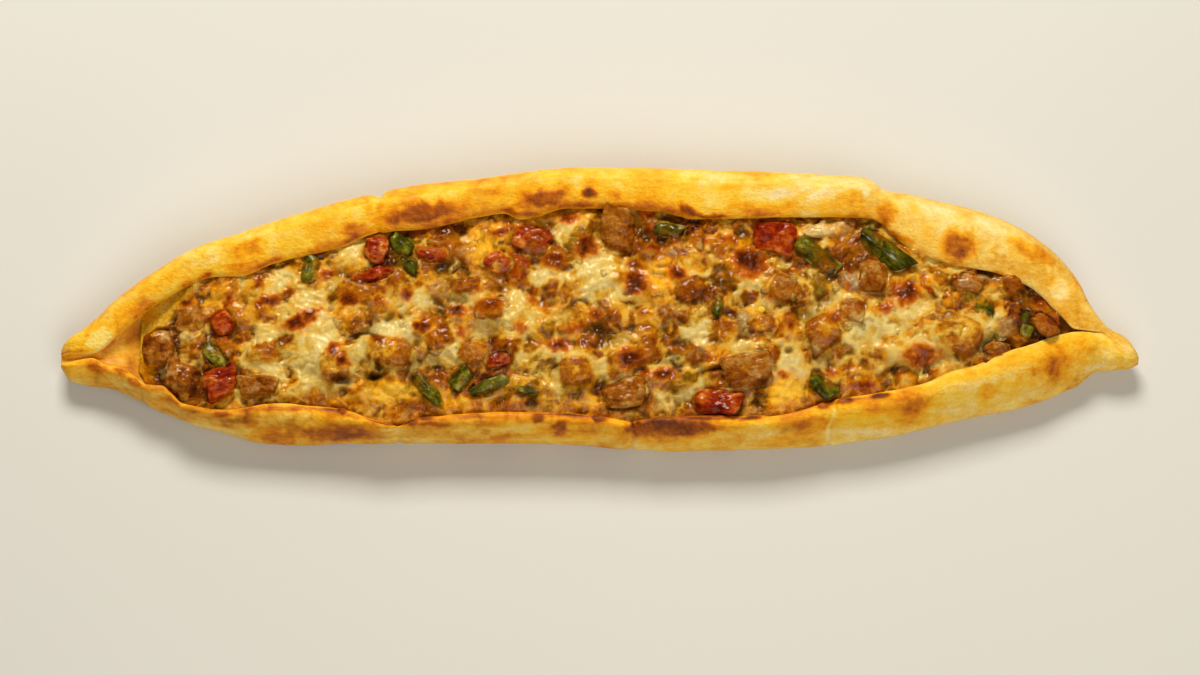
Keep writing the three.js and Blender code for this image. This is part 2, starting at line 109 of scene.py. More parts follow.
# Toppings: x, y, length, width, height, turn, bend in degrees, how much of the top the cheese veils, and how far
# the piece is along its kind's colours
MEAT = [
    (-176, -17.7, 13, 15, 11, 10, 0, 0.0, 0.4), (-165.4, -29.9, 13.6, 11.2, 11, -20, 0, 0.25, 0.56),
    (-135, -33.3, 15, 8, 8.5, 4, 0, 0.3, 0.42), (-105, -25.7, 12, 13.5, 10, 12, 0, 1.0, 0.6),
    (-83.5, -20.4, 18, 11.5, 9.5, -14, 0, 0.9, 0.64), (-63.5, -15.4, 12, 9, 8.5, 24, 0, 0.8, 0.55),
    (-43.8, -3.4, 11.5, 8.5, 8.5, -4, 0, 0.8, 0.5), (-51, -20.7, 11, 9, 8.5, -12, 0, 0.8, 0.5),
    (-93.4, 2.1, 12, 8.4, 8, -18, 0, 0.8, 0.55), (7.8, 27.7, 12, 14.5, 10.5, -6, 0, 0.15, 0.5),
    (-9.6, -28.1, 13, 12.5, 10, 8, 0, 0.85, 0.62), (9.8, -36.3, 16.5, 10.5, 10, 12, 0, 0.0, 0.56),
    (73.6, 4.9, 13, 10, 9.5, -34, 0, 0.5, 0.58), (58.2, -27.7, 18.5, 13.5, 11, 6, 0, 0.25, 0.58),
    (88.2, -12.9, 13.5, 14, 10.5, 30, 0, 0.8, 0.6), (108.8, 10.1, 11.5, 12.5, 10.5, -6, 0, 0.1, 0.56),
    (142, -13.1, 19.5, 15.5, 11, -22, 0, 0.6, 0.74), (64.5, -9.5, 11, 7, 7.5, 12, 0, 0.4, 0.5),
    (176.6, -8.5, 10, 7.5, 7.5, -34, 0, 0.45, 0.26), (36, 4.5, 13, 10, 9, 28, 0, 0.8, 0.5),
    (146, 7.7, 14, 6.5, 7.5, -14, 0, 0.5, 0.5), (-96.4, -8.3, 9.6, 7.4, 7, 20, 0, 0.6, 0.5),
    (-53.6, 6.5, 12, 6, 7, 10, 0, 0.7, 0.5), (99.6, -3.3, 9.8, 9.4, 8, -10, 0, 0.5, 0.55),
    (157, -18.3, 11, 5.6, 6.5, 12, 0, 0.3, 0.35), (37.6, 26.5, 7.4, 11.5, 8, -8, 0, 0.6, 0.45),
]
TOMATO = [
    (-150, -8.1, 9, 9.5, 6.5, 30, 0, 0.0, 0.34), (-150.4, -32.3, 12.5, 12.5, 8.5, 12, 0, 0.0, 0.34),
    (-89.6, 21.3, 8.6, 9.6, 7.5, -12, 0, 0.0, 0.46), (-90.2, 11.1, 17, 6, 6, 15, 26, 0.1, 0.55),
    (-67, 19.7, 12, 6.5, 6, 4, 0, 0.1, 0.5), (-27.4, 24.7, 14.5, 11.5, 7.5, -8, 0, 0.25, 0.56),
    (-41, 15.7, 10.5, 10.5, 7, 42, 0, 0.1, 0.55), (-40.4, -23.3, 9.5, 6, 6, 20, 0, 0.1, 0.48),
    (69.4, 26.3, 16, 12.5, 8.5, -4, 0, 0.0, 0.4), (46.6, -39.9, 17.5, 9.5, 8, -2, 0, 0.0, 0.36),
]
ONION = [(91, 29.7, 18, 6, 6, 3, 14, 0.15, 0.6), (160, -10.3, 8.8, 7.6, 6, 30, 0, 0.6, 0.45)]
PEPPER = [
    (-153, -21.1, 11.5, 6, 4.8, -48, 0, 0.1, 0.52), (-115.6, 13.3, 10.5, 7, 5, 78, 0, 0.1, 0.5),
    (-79.6, 23.5, 10.5, 6, 5, -48, 20, 0.0, 0.42), (-76.4, 14.7, 9, 5.4, 4.6, -26, 0, 0.0, 0.44),
    (-69.4, -33.9, 13, 5, 4.8, -52, 50, 0.1, 0.5), (-55, -31.1, 8.8, 6.6, 5, 52, 0, 0.0, 0.5),
    (-44, -33.5, 14.5, 5, 4.8, 24, -16, 0.1, 0.5), (-29.4, -33.7, 11.5, 6.6, 5, -8, 0, 0.35, 0.6),
    (86.4, 18.3, 19.5, 7.6, 5.4, -40, 12, 0.36, 0.66), (88, -33.7, 11, 7, 5.4, -30, 0, 0.12, 0.36),
    (113.6, 21.3, 20, 8.4, 6, -39, 0, 0.0, 0.3), (150.4, -0.3, 13, 7, 5, -22, 0, 0.1, 0.5),
    (168.4, -7.9, 9, 4, 4.4, 82, 0, 0.35, 0.32), (27, 29.5, 10.5, 5.6, 4.6, -10, 0, 0.5, 0.5),
    (46.8, -1.9, 9.5, 3.8, 4.4, 84, 10, 0.1, 0.55),
]

# Each kind: its pieces, the power of its corners in plan, its greatest tilt in degrees, how high its middle stands
# over the bed as a share of its height, and how many mm of it stand out of the cheese where none veils it
KINDS = {
    "meat": (MEAT, 3.4, 12, 0.08, 2.4),
    "tomato": (TOMATO, 3.0, 10, 0.16, 2.0),
    "pepper": (PEPPER, 4.2, 8, 0.34, 1.7),
    "onion": (ONION, 3.2, 6, 0.3, 1.8),
}
# Pieces rolled or worn round instead of cut
ROLLED = {("meat", 1), ("meat", 2), ("meat", 17), ("tomato", 1), ("tomato", 7)}

# The dice under the cheese: each kind, how far along its colours, and how often it comes
DICE = [
    ("meat", 0.34, 0.22), ("meat", 0.46, 0.24), ("meat", 0.6, 0.18), ("meat", 0.22, 0.1),
    ("tomato", 0.5, 0.08), ("pepper", 0.5, 0.1), ("onion", 0.45, 0.08),
]
# Each layer of them: grid step in mm, least and greatest half size as shares of it, height in mm, and seed
DICE_LAYERS = [(14.0, 0.4, 0.66, 4.2, 20), (8.4, 0.3, 0.62, 2.4, 30)]

# Points of the surfaces: rings along the bread and how strongly they crowd towards its tips, samples between each
# point of a ring and the next, many where the rims show and few under the filling, the filling's columns and rows, and
# those round a topping, a small bit and a seed
BREAD_RINGS, CROWDING = 780, 0.35 * math.pi
ROUND = [3, 4, 7, 8, 8, 9, 7, 5, 5, 4, 3, 2, 1, 1, 1, 1, 1, 1, 2, 2, 4, 6, 6, 6, 8, 8, 4, 3, 3]
COLUMNS, ROWS = 640, 148
BLOCK_GRID, BIT_GRID, SEED_GRID = (80, 48), (14, 7), (20, 10)

# The bread's tips shrink over their last mm; from the first to the second x the right one turns into a round nub
TIP = 5.0
NUB = (197, 205)
# How softly the cheese meets what stands out of it, and how high and how far it climbs a topping's foot, in mm
CHEESE_SOFTNESS = 0.9
FOOT_RISE, FOOT_REACH = 0.6, 1.3

# ---- how the crust is baked, glazed and folded

# How far the dough is baked, from 0, floury, to 1, black, round its ring: 0 is the middle of the underside, 5 the far
# crest, 8 the far lip, 9 to 21 the hollow, 22 the near lip, 23 the near ridge and 26 the near foot. The palest level,
# at 21.5 on the near lip's top, is partly the lip's pale dough and partly painted light along it
BAKE_ROUND = [
    (0, 0.5), (1, 0.45), (2, 0.3), (3, 0.24), (4, 0.26), (5, 0.22), (6, 0.26), (7, 0.34), (7.7, 0.4),
    (8.3, 0.34), (9, 0.4), (12, 0.46), (18, 0.46), (20.4, 0.2), (21.5, 0.06), (22.1, 0.34), (22.7, 0.42),
    (23.4, 0.36), (25, 0.34), (26, 0.32), (27, 0.42), (28, 0.5), (29, 0.5),
]
# How much further or less far along the boat; the rise towards the right end is partly browning and partly painted
# shade where the rim there is less lit
BAKE_ALONG = [
    (-215, 0.06), (-150, 0.0), (-110, -0.05), (-60, 0.04), (0, 0.02), (50, -0.03), (110, -0.06), (150, -0.02),
    (170, 0.12), (188, 0.18), (215, 0.08),
]
# At the very ends
END_BAKE = 0.35
# How thickly the glaze is brushed: along the far rim, along the near rim, and round the ring
GLAZE_FAR = [(-215, 0.3), (-150, 0.5), (-20, 0.5), (60, 0.3), (110, -0.25), (150, -0.5), (215, -0.35)]
GLAZE_NEAR = [(-215, 0.2), (-150, 0.1), (-80, 0.2), (-20, 0.4), (60, 0.5), (150, 0.45), (215, 0.1)]
GLAZE_ROUND = [
    (0, -1), (2, -0.5), (3, 0.0), (5, 0.0), (8, 0.1), (10, -0.4), (19, -0.4), (21, 0.3), (22.5, 0.1), (24, -0.3),
    (27, -0.5), (29, -0.7),
]
# Folds across the far and the near side of the crust: x, depth and reach
FOLDS = [
    [(-89.5, 0.6, 1.4), (31.5, 0.3, 1.2), (112, 0.4, 1.8), (-28, 0.3, 1.5)],
    [(-79.5, 0.6, 1.4), (12.8, 0.8, 1.2), (91.5, 0.6, 0.8), (-182, 0.5, 1.4), (198, 0.2, 1.2)],
]

# ---- what the picture shows at its place, at 1200 x 675 pixels: x, y, length, width, turn, strength

# The crust: browned spots of the far rim, the near rim and the near wall, and pale patches: floury dough, and
# painted highlights along the far crest
RIM_SPOTS = [
    (250, 248, 34, 16, 20, 0.5), (241, 263, 34, 7, 12, 0.5), (204, 276, 16, 8, 30, 0.6),
    (187, 281, 13, 8, 30, 0.6), (351, 228, 24, 10, 16, 0.6), (378, 209, 8, 11, 0, 0.35),
    (426, 212, 74, 17, 10, 0.74), (404, 219, 30, 8, 16, 0.3), (493, 191, 26, 7, 5, 0.25),
    (546, 197, 42, 15, 8, 0.85), (520, 205, 30, 7, 14, 0.5), (540, 210, 40, 9, 6, 0.45),
    (590, 194, 13, 9, 0, 1.0), (611, 195, 14, 9, -20, 0.4), (729, 188, 24, 9, 0, 0.25),
    (690, 209, 18, 6, -28, 0.8), (708, 214, 30, 5, -4, 0.75), (754, 192, 14, 7, 0, 0.15),
    (850, 199, 22, 13, 10, 0.3), (887, 213, 16, 20, 20, 0.5), (898, 235, 30, 6, -38, 0.4),
    (957, 246, 32, 25, -8, 0.85), (1031, 249, 44, 15, -30, 0.4), (992, 251, 7, 7, 0, 0.2),
    (998, 272, 12, 5, -20, 0.35), (1113, 346, 18, 8, -20, 0.22), (440, 182, 60, 5, 4, 0.2),
    (800, 208, 50, 6, 0, 0.2), (640, 204, 60, 6, 0, 0.2), (320, 246, 24, 6, 18, 0.3),
]
NEAR_SPOTS = [
    (94, 366, 26, 6, -8, 0.35), (120, 368, 16, 9, -10, 0.5), (131, 380, 12, 7, -40, 0.5),
    (167, 401, 24, 7, -18, 0.35), (221, 414, 18, 5, 0, 0.5), (286, 409, 70, 5, 0, 0.55),
    (341, 411, 12, 8, -10, 0.75), (355, 417, 16, 5, -20, 0.5), (410, 421, 13, 8, 0, 0.65),
    (428, 418, 14, 6, 0, 0.6), (473, 417, 30, 4, 0, 0.35), (537, 418, 13, 9, 0, 0.75),
    (560, 415, 30, 4, 0, 0.4), (600, 419, 14, 8, 0, 0.7), (671, 421, 60, 7, 0, 0.75),
    (704, 418, 70, 5, 0, 0.8), (764, 415, 40, 5, 12, 0.85), (790, 409, 36, 5, 14, 0.8),
    (823, 406, 14, 8, 10, 0.75), (843, 401, 13, 7, 10, 0.7), (882, 396, 20, 6, 8, 0.75),
    (912, 389, 20, 4, 14, 0.45), (960, 368, 30, 4, 22, 0.3), (1028, 348, 26, 4, 20, 0.3),
]
WALL_SPOTS = [
    (275, 437, 40, 12, 0, 0.4), (338, 434, 60, 12, 0, 0.7), (252, 427, 12, 5, 0, 0.3),
    (438, 429, 30, 4, 0, 0.4), (503, 438, 20, 6, 0, 0.35), (559, 431, 20, 11, 0, 0.9),
    (672, 432, 84, 15, 0, 1.0), (811, 428, 30, 12, 8, 0.45), (908, 404, 26, 22, 0, 0.5),
    (986, 395, 16, 13, 0, 0.6), (1015, 380, 8, 6, 0, 0.2), (1054, 365, 32, 24, 10, 0.36),
    (1060, 376, 24, 12, -10, 0.24), (1086, 358, 30, 14, 0, 0.2),
]
PALE_PATCHES = [
    (763, 198, 40, 12, 0, 0.28), (820, 196, 26, 5, 30, 0.3), (1060, 289, 16, 14, 0, 0.3),
    (99, 337, 26, 16, 35, 0.5), (470, 176, 80, 5, 4, 0.25), (263, 247, 8, 6, 0, 0.3),
    (863, 196, 8, 5, 60, 0.4), (1000, 232, 60, 22, -25, 0.14), (720, 178, 60, 8, 0, 0.1),
    (170, 292, 60, 14, 34, 0.12), (650, 190, 70, 28, 0, 0.08), (860, 425, 70, 14, 8, 0.12),
    (950, 408, 60, 16, 12, 0.12),
]

# The filling: cream pools, places of thin cheese, orange oily pools, toasted bubbles, and hollows, dipped and
# darkened with painted shade
CREAM_POOLS = [
    (315, 335, 56, 90, 10, 1.0), (272, 335, 30, 30, 0, 0.6), (352, 252, 30, 26, 30, 0.7),
    (285, 284, 50, 22, 30, 0.6), (305, 380, 30, 30, 0, 0.9), (365, 352, 34, 26, 0, 0.8),
    (600, 281, 56, 40, -20, 0.9), (590, 258, 30, 20, 0, 0.5), (572, 230, 50, 26, 20, 0.9),
    (515, 314, 54, 44, 20, 0.65), (545, 283, 34, 24, 0, 0.9), (545, 355, 60, 30, 30, 0.45),
    (694, 330, 36, 34, 20, 0.8), (752, 284, 34, 22, 10, 0.9), (750, 352, 60, 20, 0, 0.7),
    (786, 368, 44, 40, 10, 0.85), (868, 330, 50, 50, 10, 1.0), (900, 312, 60, 36, 20, 0.8),
    (902, 352, 44, 24, 0, 0.9), (930, 345, 50, 30, 30, 0.7), (990, 322, 36, 34, 0, 0.7),
    (190, 332, 26, 18, 0, 0.5), (178, 362, 24, 20, 0, 0.6), (500, 340, 50, 20, 0, 0.3),
    (420, 302, 40, 24, 0, 0.5), (662, 399, 46, 18, -25, 0.65), (688, 390, 36, 20, 40, 0.5),
    (820, 232, 60, 16, 0, 0.7), (540, 385, 50, 24, 0, 0.5), (270, 372, 30, 50, 10, 0.7),
    (410, 268, 24, 14, 0, 0.5), (400, 330, 50, 26, 0, 0.9), (448, 352, 30, 20, 0, 0.6),
    (480, 300, 24, 20, 0, 0.6), (845, 305, 30, 24, 0, 0.6), (605, 372, 30, 24, 0, 0.6),
    (962, 332, 34, 30, 0, 0.5),
]
THIN_PLACES = [
    (384, 258, 40, 34, 0, 1.0), (425, 235, 50, 24, 0, 0.6), (655, 248, 60, 40, 0, 0.8),
    (690, 232, 40, 26, 0, 0.7), (845, 262, 50, 40, 0, 0.8), (690, 300, 40, 20, 0, 0.8),
    (722, 282, 24, 30, 0, 0.8), (485, 382, 30, 16, 0, 0.9), (600, 330, 34, 30, 0, 0.8),
    (815, 352, 30, 24, 0, 0.6), (1035, 318, 60, 56, -20, 1.0), (1000, 282, 60, 20, -20, 0.6),
    (290, 252, 40, 16, 20, 0.5), (235, 330, 30, 24, 0, 0.6), (196, 385, 40, 30, 0, 0.5),
    (735, 385, 60, 24, 0, 0.4), (740, 332, 30, 24, 0, 0.6),
]
OIL_POOLS = [
    (490, 250, 50, 44, 20, 1.0), (656, 280, 36, 44, 10, 0.8), (390, 394, 56, 22, 6, 1.3),
    (455, 402, 60, 22, 0, 0.8), (788, 394, 50, 24, 10, 1.2), (345, 328, 14, 34, 0, 0.5), (215, 300, 44, 34, 10, 0.8),
    (240, 322, 34, 24, 0, 0.5), (745, 246, 40, 24, 0, 0.7), (595, 404, 60, 16, 0, 0.8),
    (330, 318, 30, 20, 0, 0.4), (560, 300, 30, 20, 0, 0.4), (430, 322, 40, 20, 10, 0.5),
    (640, 330, 30, 40, 0, 0.6), (900, 362, 50, 20, 0, 0.4), (850, 250, 50, 20, -20, 0.4),
    (300, 270, 50, 14, 20, 0.4), (180, 300, 50, 20, 30, 0.7), (340, 402, 60, 14, 0, 0.6),
]
TOASTED = [
    (186, 300, 13, 12, 0, 0.9), (229, 302, 11, 11, 0, 0.7), (270, 301, 22, 11, 30, 0.8),
    (290, 291, 11, 9, 0, 0.6), (296, 326, 20, 12, 10, 0.95), (312, 317, 18, 9, 30, 0.85),
    (290, 254, 10, 8, 0, 0.5), (328, 277, 16, 10, 40, 0.6), (349, 300, 17, 14, 0, 0.8),
    (378, 305, 14, 10, 0, 0.5), (409, 298, 11, 10, 0, 0.7), (336, 353, 11, 11, 0, 0.75),
    (344, 364, 10, 10, 0, 0.7), (423, 327, 11, 12, 0, 0.95), (458, 314, 18, 11, 0, 0.85),
    (476, 292, 12, 9, 0, 0.6), (491, 308, 28, 18, 10, 0.6), (504, 282, 10, 8, 0, 0.6),
    (531, 298, 8, 20, 20, 0.6), (555, 263, 20, 13, 0, 0.85), (570, 219, 16, 11, 0, 0.75),
    (585, 249, 17, 17, 0, 1.0), (558, 346, 18, 12, 0, 0.95), (634, 267, 14, 10, 0, 0.8),
    (636, 286, 19, 17, 0, 1.0), (678, 276, 14, 12, 0, 0.95), (632, 361, 21, 17, 0, 1.0),
    (666, 376, 19, 13, 0, 0.9), (645, 374, 12, 8, 0, 0.7), (728, 241, 17, 11, 0, 0.7),
    (749, 264, 28, 23, 0, 1.0), (790, 328, 10, 16, 0, 0.7), (832, 376, 12, 10, 0, 0.5),
    (783, 375, 10, 8, 0, 0.6), (903, 295, 23, 19, 0, 1.0), (884, 309, 14, 12, 0, 0.5),
    (921, 357, 28, 15, 10, 0.85), (863, 386, 24, 14, 10, 0.7), (400, 343, 20, 8, 10, 0.4),
    (575, 330, 26, 12, 0, 0.6), (596, 318, 16, 10, 0, 0.6), (1040, 300, 22, 16, -30, 0.6),
    (1052, 322, 26, 16, -20, 0.7), (440, 246, 30, 10, 10, 0.5), (505, 232, 26, 10, 10, 0.6),
    (655, 250, 20, 10, 20, 0.6), (700, 243, 16, 12, 0, 0.6), (210, 320, 12, 10, 0, 0.5),
    (240, 345, 12, 10, 0, 0.5), (520, 330, 14, 10, 0, 0.4), (463, 335, 16, 10, 0, 0.5),
    (770, 300, 16, 12, 0, 0.4), (832, 320, 20, 14, 0, 0.5), (970, 280, 16, 8, -20, 0.4),
]
HOLLOWS = [
    (342, 381, 15, 6, 0, 1.0), (372, 378, 14, 6, 0, 1.0), (501, 300, 4, 4, 0, 1.0),
    (717, 370, 24, 4, 12, 0.9), (788, 353, 7, 5, 0, 0.8), (390, 320, 10, 5, 40, 0.7),
    (622, 407, 34, 6, 10, 0.8), (985, 345, 30, 8, 40, 0.7), (545, 292, 6, 5, 0, 0.5),
    (205, 398, 30, 6, 0, 0.5), (700, 352, 8, 5, 0, 0.5),
]

# The pepper's seed: its picture point and level, and its half sizes in mm
SEED_AT, SEED_HALF = (761, 311, 20), np.array([1.5, 1.3, 0.8])


# ---- small tools

def linear(code):
    """Linear red, green, blue from an sRGB hex code: c / 12.92 below 0.04045, else ((c + 0.055) / 1.055) ** 2.4."""
    srgb = np.array([int(code[i:i + 2], 16) for i in (1, 3, 5)]) / 255
    return np.where(srgb < 0.04045, srgb / 12.92, ((srgb + 0.055) / 1.055) ** 2.4)


def lerp(a, b, t):
    """The value t of the way from a to b."""
    return a + (b - a) * t


def smooth(low, high, value):
    """0 below low, 1 above high, and the cubic 3t^2 - 2t^3 between."""
    t = np.clip((value - low) / (high - low), 0, 1)
    return t * t * (3 - 2 * t)


def between(value, start, full, fade, end):
    """0 below start, 1 from full to fade, 0 above end, and smooth between."""
    return smooth(start, full, value) * smooth(end, fade, value)


def bell(value, middle, reach):
    """exp(-((value - middle) / reach)^2): 1 in the middle, 0.37 at the reach."""
    return np.exp(-(((value - middle) / reach) ** 2))


def turned(u, v, angle):
    """Both coordinates in axes turned by the angle: u cos + v sin and v cos - u sin."""
    return u * np.cos(angle) + v * np.sin(angle), v * np.cos(angle) - u * np.sin(angle)


def through(pairs):
    """A smooth curve through (x, value) pairs that never overshoots them.

    Between two pairs it is a cubic; its slope at a pair is the weighted harmonic mean of the slopes on both sides,
    or 0 where they differ in sign.
    """
    xs, values = np.array(pairs, float).T
    run = np.diff(xs)
    slope = np.diff(values) / run
    before = 2 * run[1:] + run[:-1]
    after = run[1:] + 2 * run[:-1]
    same = slope[:-1] * slope[1:] > 0
    left = np.where(same, slope[:-1], 1)
    right = np.where(same, slope[1:], 1)
    inner = np.where(same, (before + after) / (before / left + after / right), 0)
    tangent = np.concatenate([slope[:1], inner, slope[-1:]])

    def at(x):
        x = np.clip(x, xs[0], xs[-1])
        i = np.clip(np.searchsorted(xs, x, side="left") - 1, 0, len(run) - 1)
        t = (x - xs[i]) / run[i]
        rise = values[i + 1] - values[i]
        start, end = run[i] * tangent[i], run[i] * tangent[i + 1]
        return values[i] + t * (start + t * (3 * rise - 2 * start - end + t * (start + end - 2 * rise)))

    return at


def draw(i, j, seed):
    """A repeatable number from 0 to 1 for whole numbers: the fraction of a large sine."""
    wave = np.sin(i * 127.1 + j * 311.7 + seed * 74.7) * 43758.5453
    return wave - np.floor(wave)


def strewn(x, y, step, spread, seed):
    """For each of the nine grid cells round each place: the cell, and how far the place is from the cell's own random
    point, which lies in the given middle share of it."""
    column, row = np.floor(x / step), np.floor(y / step)
    for across, up in np.ndindex(3, 3):
        i, j = column + across - 1, row + up - 1
        dx = x - (i + (1 - spread) / 2 + spread * draw(i, j, seed + 1)) * step
        dy = y - (j + (1 - spread) / 2 + spread * draw(i, j, seed + 2)) * step
        yield i, j, dx, dy


def cloud(points, size, seed, octaves, fade=0.5):
    """Smooth noise from -1 to 1: random values on a lattice of the given size, blended between by smooth cubics,
    with each further octave half as large and fade times as strong."""
    total = np.zeros(points.shape[:-1])
    weight, norm = 1.0, 0.0
    for octave in range(octaves):
        at = points / size * 2 ** octave + 13.7 * seed + 5.1 * octave
        low = np.floor(at)
        part = at - low
        part = part ** 3 * (part * (part * 6 - 15) + 10)
        value = 0.0
        for corner in np.ndindex(2, 2, 2):
            near = low + np.array(corner)
            share = np.prod(np.where(np.array(corner) == 1, part, 1 - part), axis=-1)
            value = value + share * draw(near[..., 0], near[..., 1], near[..., 2] * 1.37 + seed + octave)
        total += weight * (2 * value - 1)
        norm += weight
        weight *= fade
    return total / norm


def ridges(points, size, seed, octaves=2):
    """Noise that is 1 along thin wandering lines and falls to about -0.5 between them: 1 - 2.6 |cloud|."""
    return 1 - 2.6 * np.abs(cloud(points, size, seed, octaves, 0.6))


def ramp(value, stops):
    """Linear colours at each value, in straight steps between the stops' colours."""
    places = [place for place, _ in stops]
    colours = np.stack([linear(code) for _, code in stops])
    return np.stack([np.interp(value, places, colours[:, k]) for k in range(3)], axis=-1)


def tint(base, colour, share):
    """Colours moved towards others by each point's share."""
    return base + (colour - base) * share[..., None]


def blur(field, reach):
    """The field averaged along both axes with a bell of the given reach in cells."""
    taps = np.arange(-int(3 * reach), int(3 * reach) + 1)
    weights = np.exp(-0.5 * (taps / reach) ** 2)
    weights /= weights.sum()
    for axis in (0, 1):
        pad = [(0, 0), (0, 0)]
        pad[axis] = (len(taps) // 2, len(taps) // 2)
        wide = np.pad(field, pad, mode="edge")
        count = field.shape[axis]
        field = sum(w * np.take(wide, np.arange(k, k + count), axis=axis) for k, w in enumerate(weights))
    return field


# ---- the camera: the picture's own angle, nearly straight down from the near side

PICTURE = (1200, 675)
ELEVATION = math.radians(78)
LENS, SENSOR = 85.0, 36.0
FRAME_WIDTH = 480.0
AIM = np.array([0.0, -12.25, 12.0])
REACH = FRAME_WIDTH * LENS / SENSOR
FORWARD = np.array([0.0, math.cos(ELEVATION), -math.sin(ELEVATION)])
UP = np.array([0.0, math.sin(ELEVATION), math.cos(ELEVATION)])
EYE = AIM - REACH * FORWARD


def plan(px, py, z):
    """Where the line of sight through a picture point meets the level z, in mm."""
    across = (np.asarray(px, float) - PICTURE[0] / 2) / PICTURE[0] * SENSOR / LENS
    above = (PICTURE[1] / 2 - np.asarray(py, float)) / PICTURE[0] * SENSOR / LENS
    ray_y = FORWARD[1] + above * UP[1]
    ray_z = FORWARD[2] + above * UP[2]
    far = (z - EYE[2]) / ray_z
    return EYE[0] + far * across, EYE[1] + far * ray_y


def spots(x, y, rows, z, sharp=1.0, grow=1.0, rough=None):
    """Over places (x, y): the largest of soft ellipses, each strength * exp(-r^2 ** sharp), r = 1 at its edge.

    With roughness the ellipses have flat middles and uneven edges: the same bell plus the roughness, cut off smoothly
    below 0.1 and above 0.75.
    """
    half = FRAME_WIDTH / PICTURE[0] * grow / 2
    field = np.zeros(np.broadcast(x, y).shape)
    for px, py, length, width, turn, strength in rows:
        cx, cy = plan(px, py, z)
        u, v = turned(x - cx, y - cy, math.radians(turn))
        level = np.exp(-(((u / (length * half)) ** 2 + (v / (width * half)) ** 2) ** sharp))
        if rough is not None:
            level = smooth(0.1, 0.75, level + rough * smooth(0.0, 0.12, level))
        field = np.maximum(field, strength * level)
    return field


def set_camera():
    """The camera looks along FORWARD from EYE, without depth of field or shift."""
    data = bpy.data.cameras.new("camera")
    data.lens, data.sensor_width = LENS, SENSOR
    camera = bpy.data.objects.new("camera", data)
    camera.location = EYE * 0.001
    camera.rotation_euler = (math.pi / 2 - ELEVATION, 0, 0)
    bpy.context.collection.objects.link(camera)
    bpy.context.scene.camera = camera


set_camera()


# ---- meshes and nodes

def piece(name, points, faces, material, values=None):
    """One object at the origin from points in mm, a list of face arrays, and named values for its points."""
    mesh = bpy.data.meshes.new(name)
    points = points.reshape(-1, 3) * 0.001
    sizes = np.concatenate([np.full(len(f), f.shape[1]) for f in faces])
    corners = np.concatenate([f.ravel() for f in faces])
    mesh.vertices.add(len(points))
    mesh.vertices.foreach_set("co", points.ravel())
    mesh.loops.add(len(corners))
    mesh.loops.foreach_set("vertex_index", corners.astype(np.int32))
    mesh.polygons.add(len(sizes))
    mesh.polygons.foreach_set("loop_start", (np.cumsum(sizes) - sizes).astype(np.int32))
    mesh.update(calc_edges=True)
    mesh.validate()
    mesh.polygons.foreach_set("use_smooth", np.full(len(sizes), True))
    for key, value in (values or {}).items():
        sort, field = ("FLOAT_VECTOR", "vector") if value.size == points.size else ("FLOAT", "value")
        mesh.attributes.new(key, sort, "POINT").data.foreach_set(field, value.ravel())
    mesh.materials.append(material)
    made = bpy.data.objects.new(name, mesh)
    bpy.context.collection.objects.link(made)
    return made


def tube_faces(rings, around):
    """Faces of a tube of closed rings, with a fan at each end to one more point: points are the rings, then both ends.
    """
    i, j = np.meshgrid(np.arange(rings - 1), np.arange(around), indexing="ij")
    a = (i * around + j).ravel()
    b = (i * around + (j + 1) % around).ravel()
    walls = np.stack([a, a + around, b + around, b], axis=1)
    ring = np.arange(around)
    after = (ring + 1) % around
    last = (rings - 1) * around
    first_end = np.stack([np.full(around, rings * around), ring, after], axis=1)
    last_end = np.stack([np.full(around, rings * around + 1), last + after, last + ring], axis=1)
    return [walls, first_end, last_end]


def tube(name, rings, material, values):
    """One closed object from rings of points, ending in the middles of the first and last ring. Each named value comes
    as the value at each of the rings' points, and the one at both ends."""
    ends = np.stack([rings[0].mean(axis=0), rings[-1].mean(axis=0)])
    values = {key: np.concatenate([value.reshape(-1, *np.shape(end)), [end, end]])
              for key, (value, end) in values.items()}
    return piece(name, np.concatenate([rings.reshape(-1, 3), ends]), tube_faces(*rings.shape[:2]), material, values)


def grid_normals(rings):
    """Unit normals of a closed tube: the cross product of the steps along it and round it."""
    along = np.gradient(rings, axis=0)
    around = np.roll(rings, -1, axis=1) - np.roll(rings, 1, axis=1)
    normal = np.cross(around, along)
    return normal / np.maximum(np.linalg.norm(normal, axis=-1, keepdims=True), 1e-9)


def add(tree, kind, links=None, values=None, **settings):
    """One node in a tree: its own settings, its sockets' values and its links from other nodes."""
    node = tree.nodes.new(kind)
    for key, value in settings.items():
        setattr(node, key, value)
    for key, value in (values or {}).items():
        node.inputs[key].default_value = value
    for key, source in (links or {}).items():
        tree.links.new(source, node.inputs[key])
    return node


def new_material(name):
    """An empty node material, its tree, and its Object coordinates."""
    material = bpy.data.materials.new(name)
    material.use_nodes = True
    tree = material.node_tree
    tree.nodes.clear()
    place = add(tree, "ShaderNodeTexCoord").outputs["Object"]
    return material, tree, place


# ---- materials

# plain dough as it bakes, from floury cream through tan to the brown and near black of blisters
DOUGH_STOPS = [
    (0.0, "#FBE4A4"), (0.25, "#F8CE62"), (0.42, "#E8AC30"), (0.56, "#CC8412"),
    (0.7, "#A05A0C"), (0.85, "#703404"), (1.0, "#441802"),
]
# the same dough under its glaze of egg and butter, yellow to orange
GLAZE_STOPS = [
    (0.0, "#FDDC70"), (0.2, "#FCC832"), (0.38, "#F8AE10"), (0.52, "#E48A06"),
    (0.68, "#B45A04"), (0.84, "#783402"), (1.0, "#441802"),
]
# melted cheese from thick and pale through thin and golden to toasted red-brown
CHEESE_STOPS = [
    (0.0, "#E4D08A"), (0.12, "#DEBE64"), (0.26, "#DEAC38"), (0.4, "#E09410"),
    (0.54, "#BE6402"), (0.68, "#923C00"), (0.82, "#661E00"), (1.0, "#3C0A00"),
]
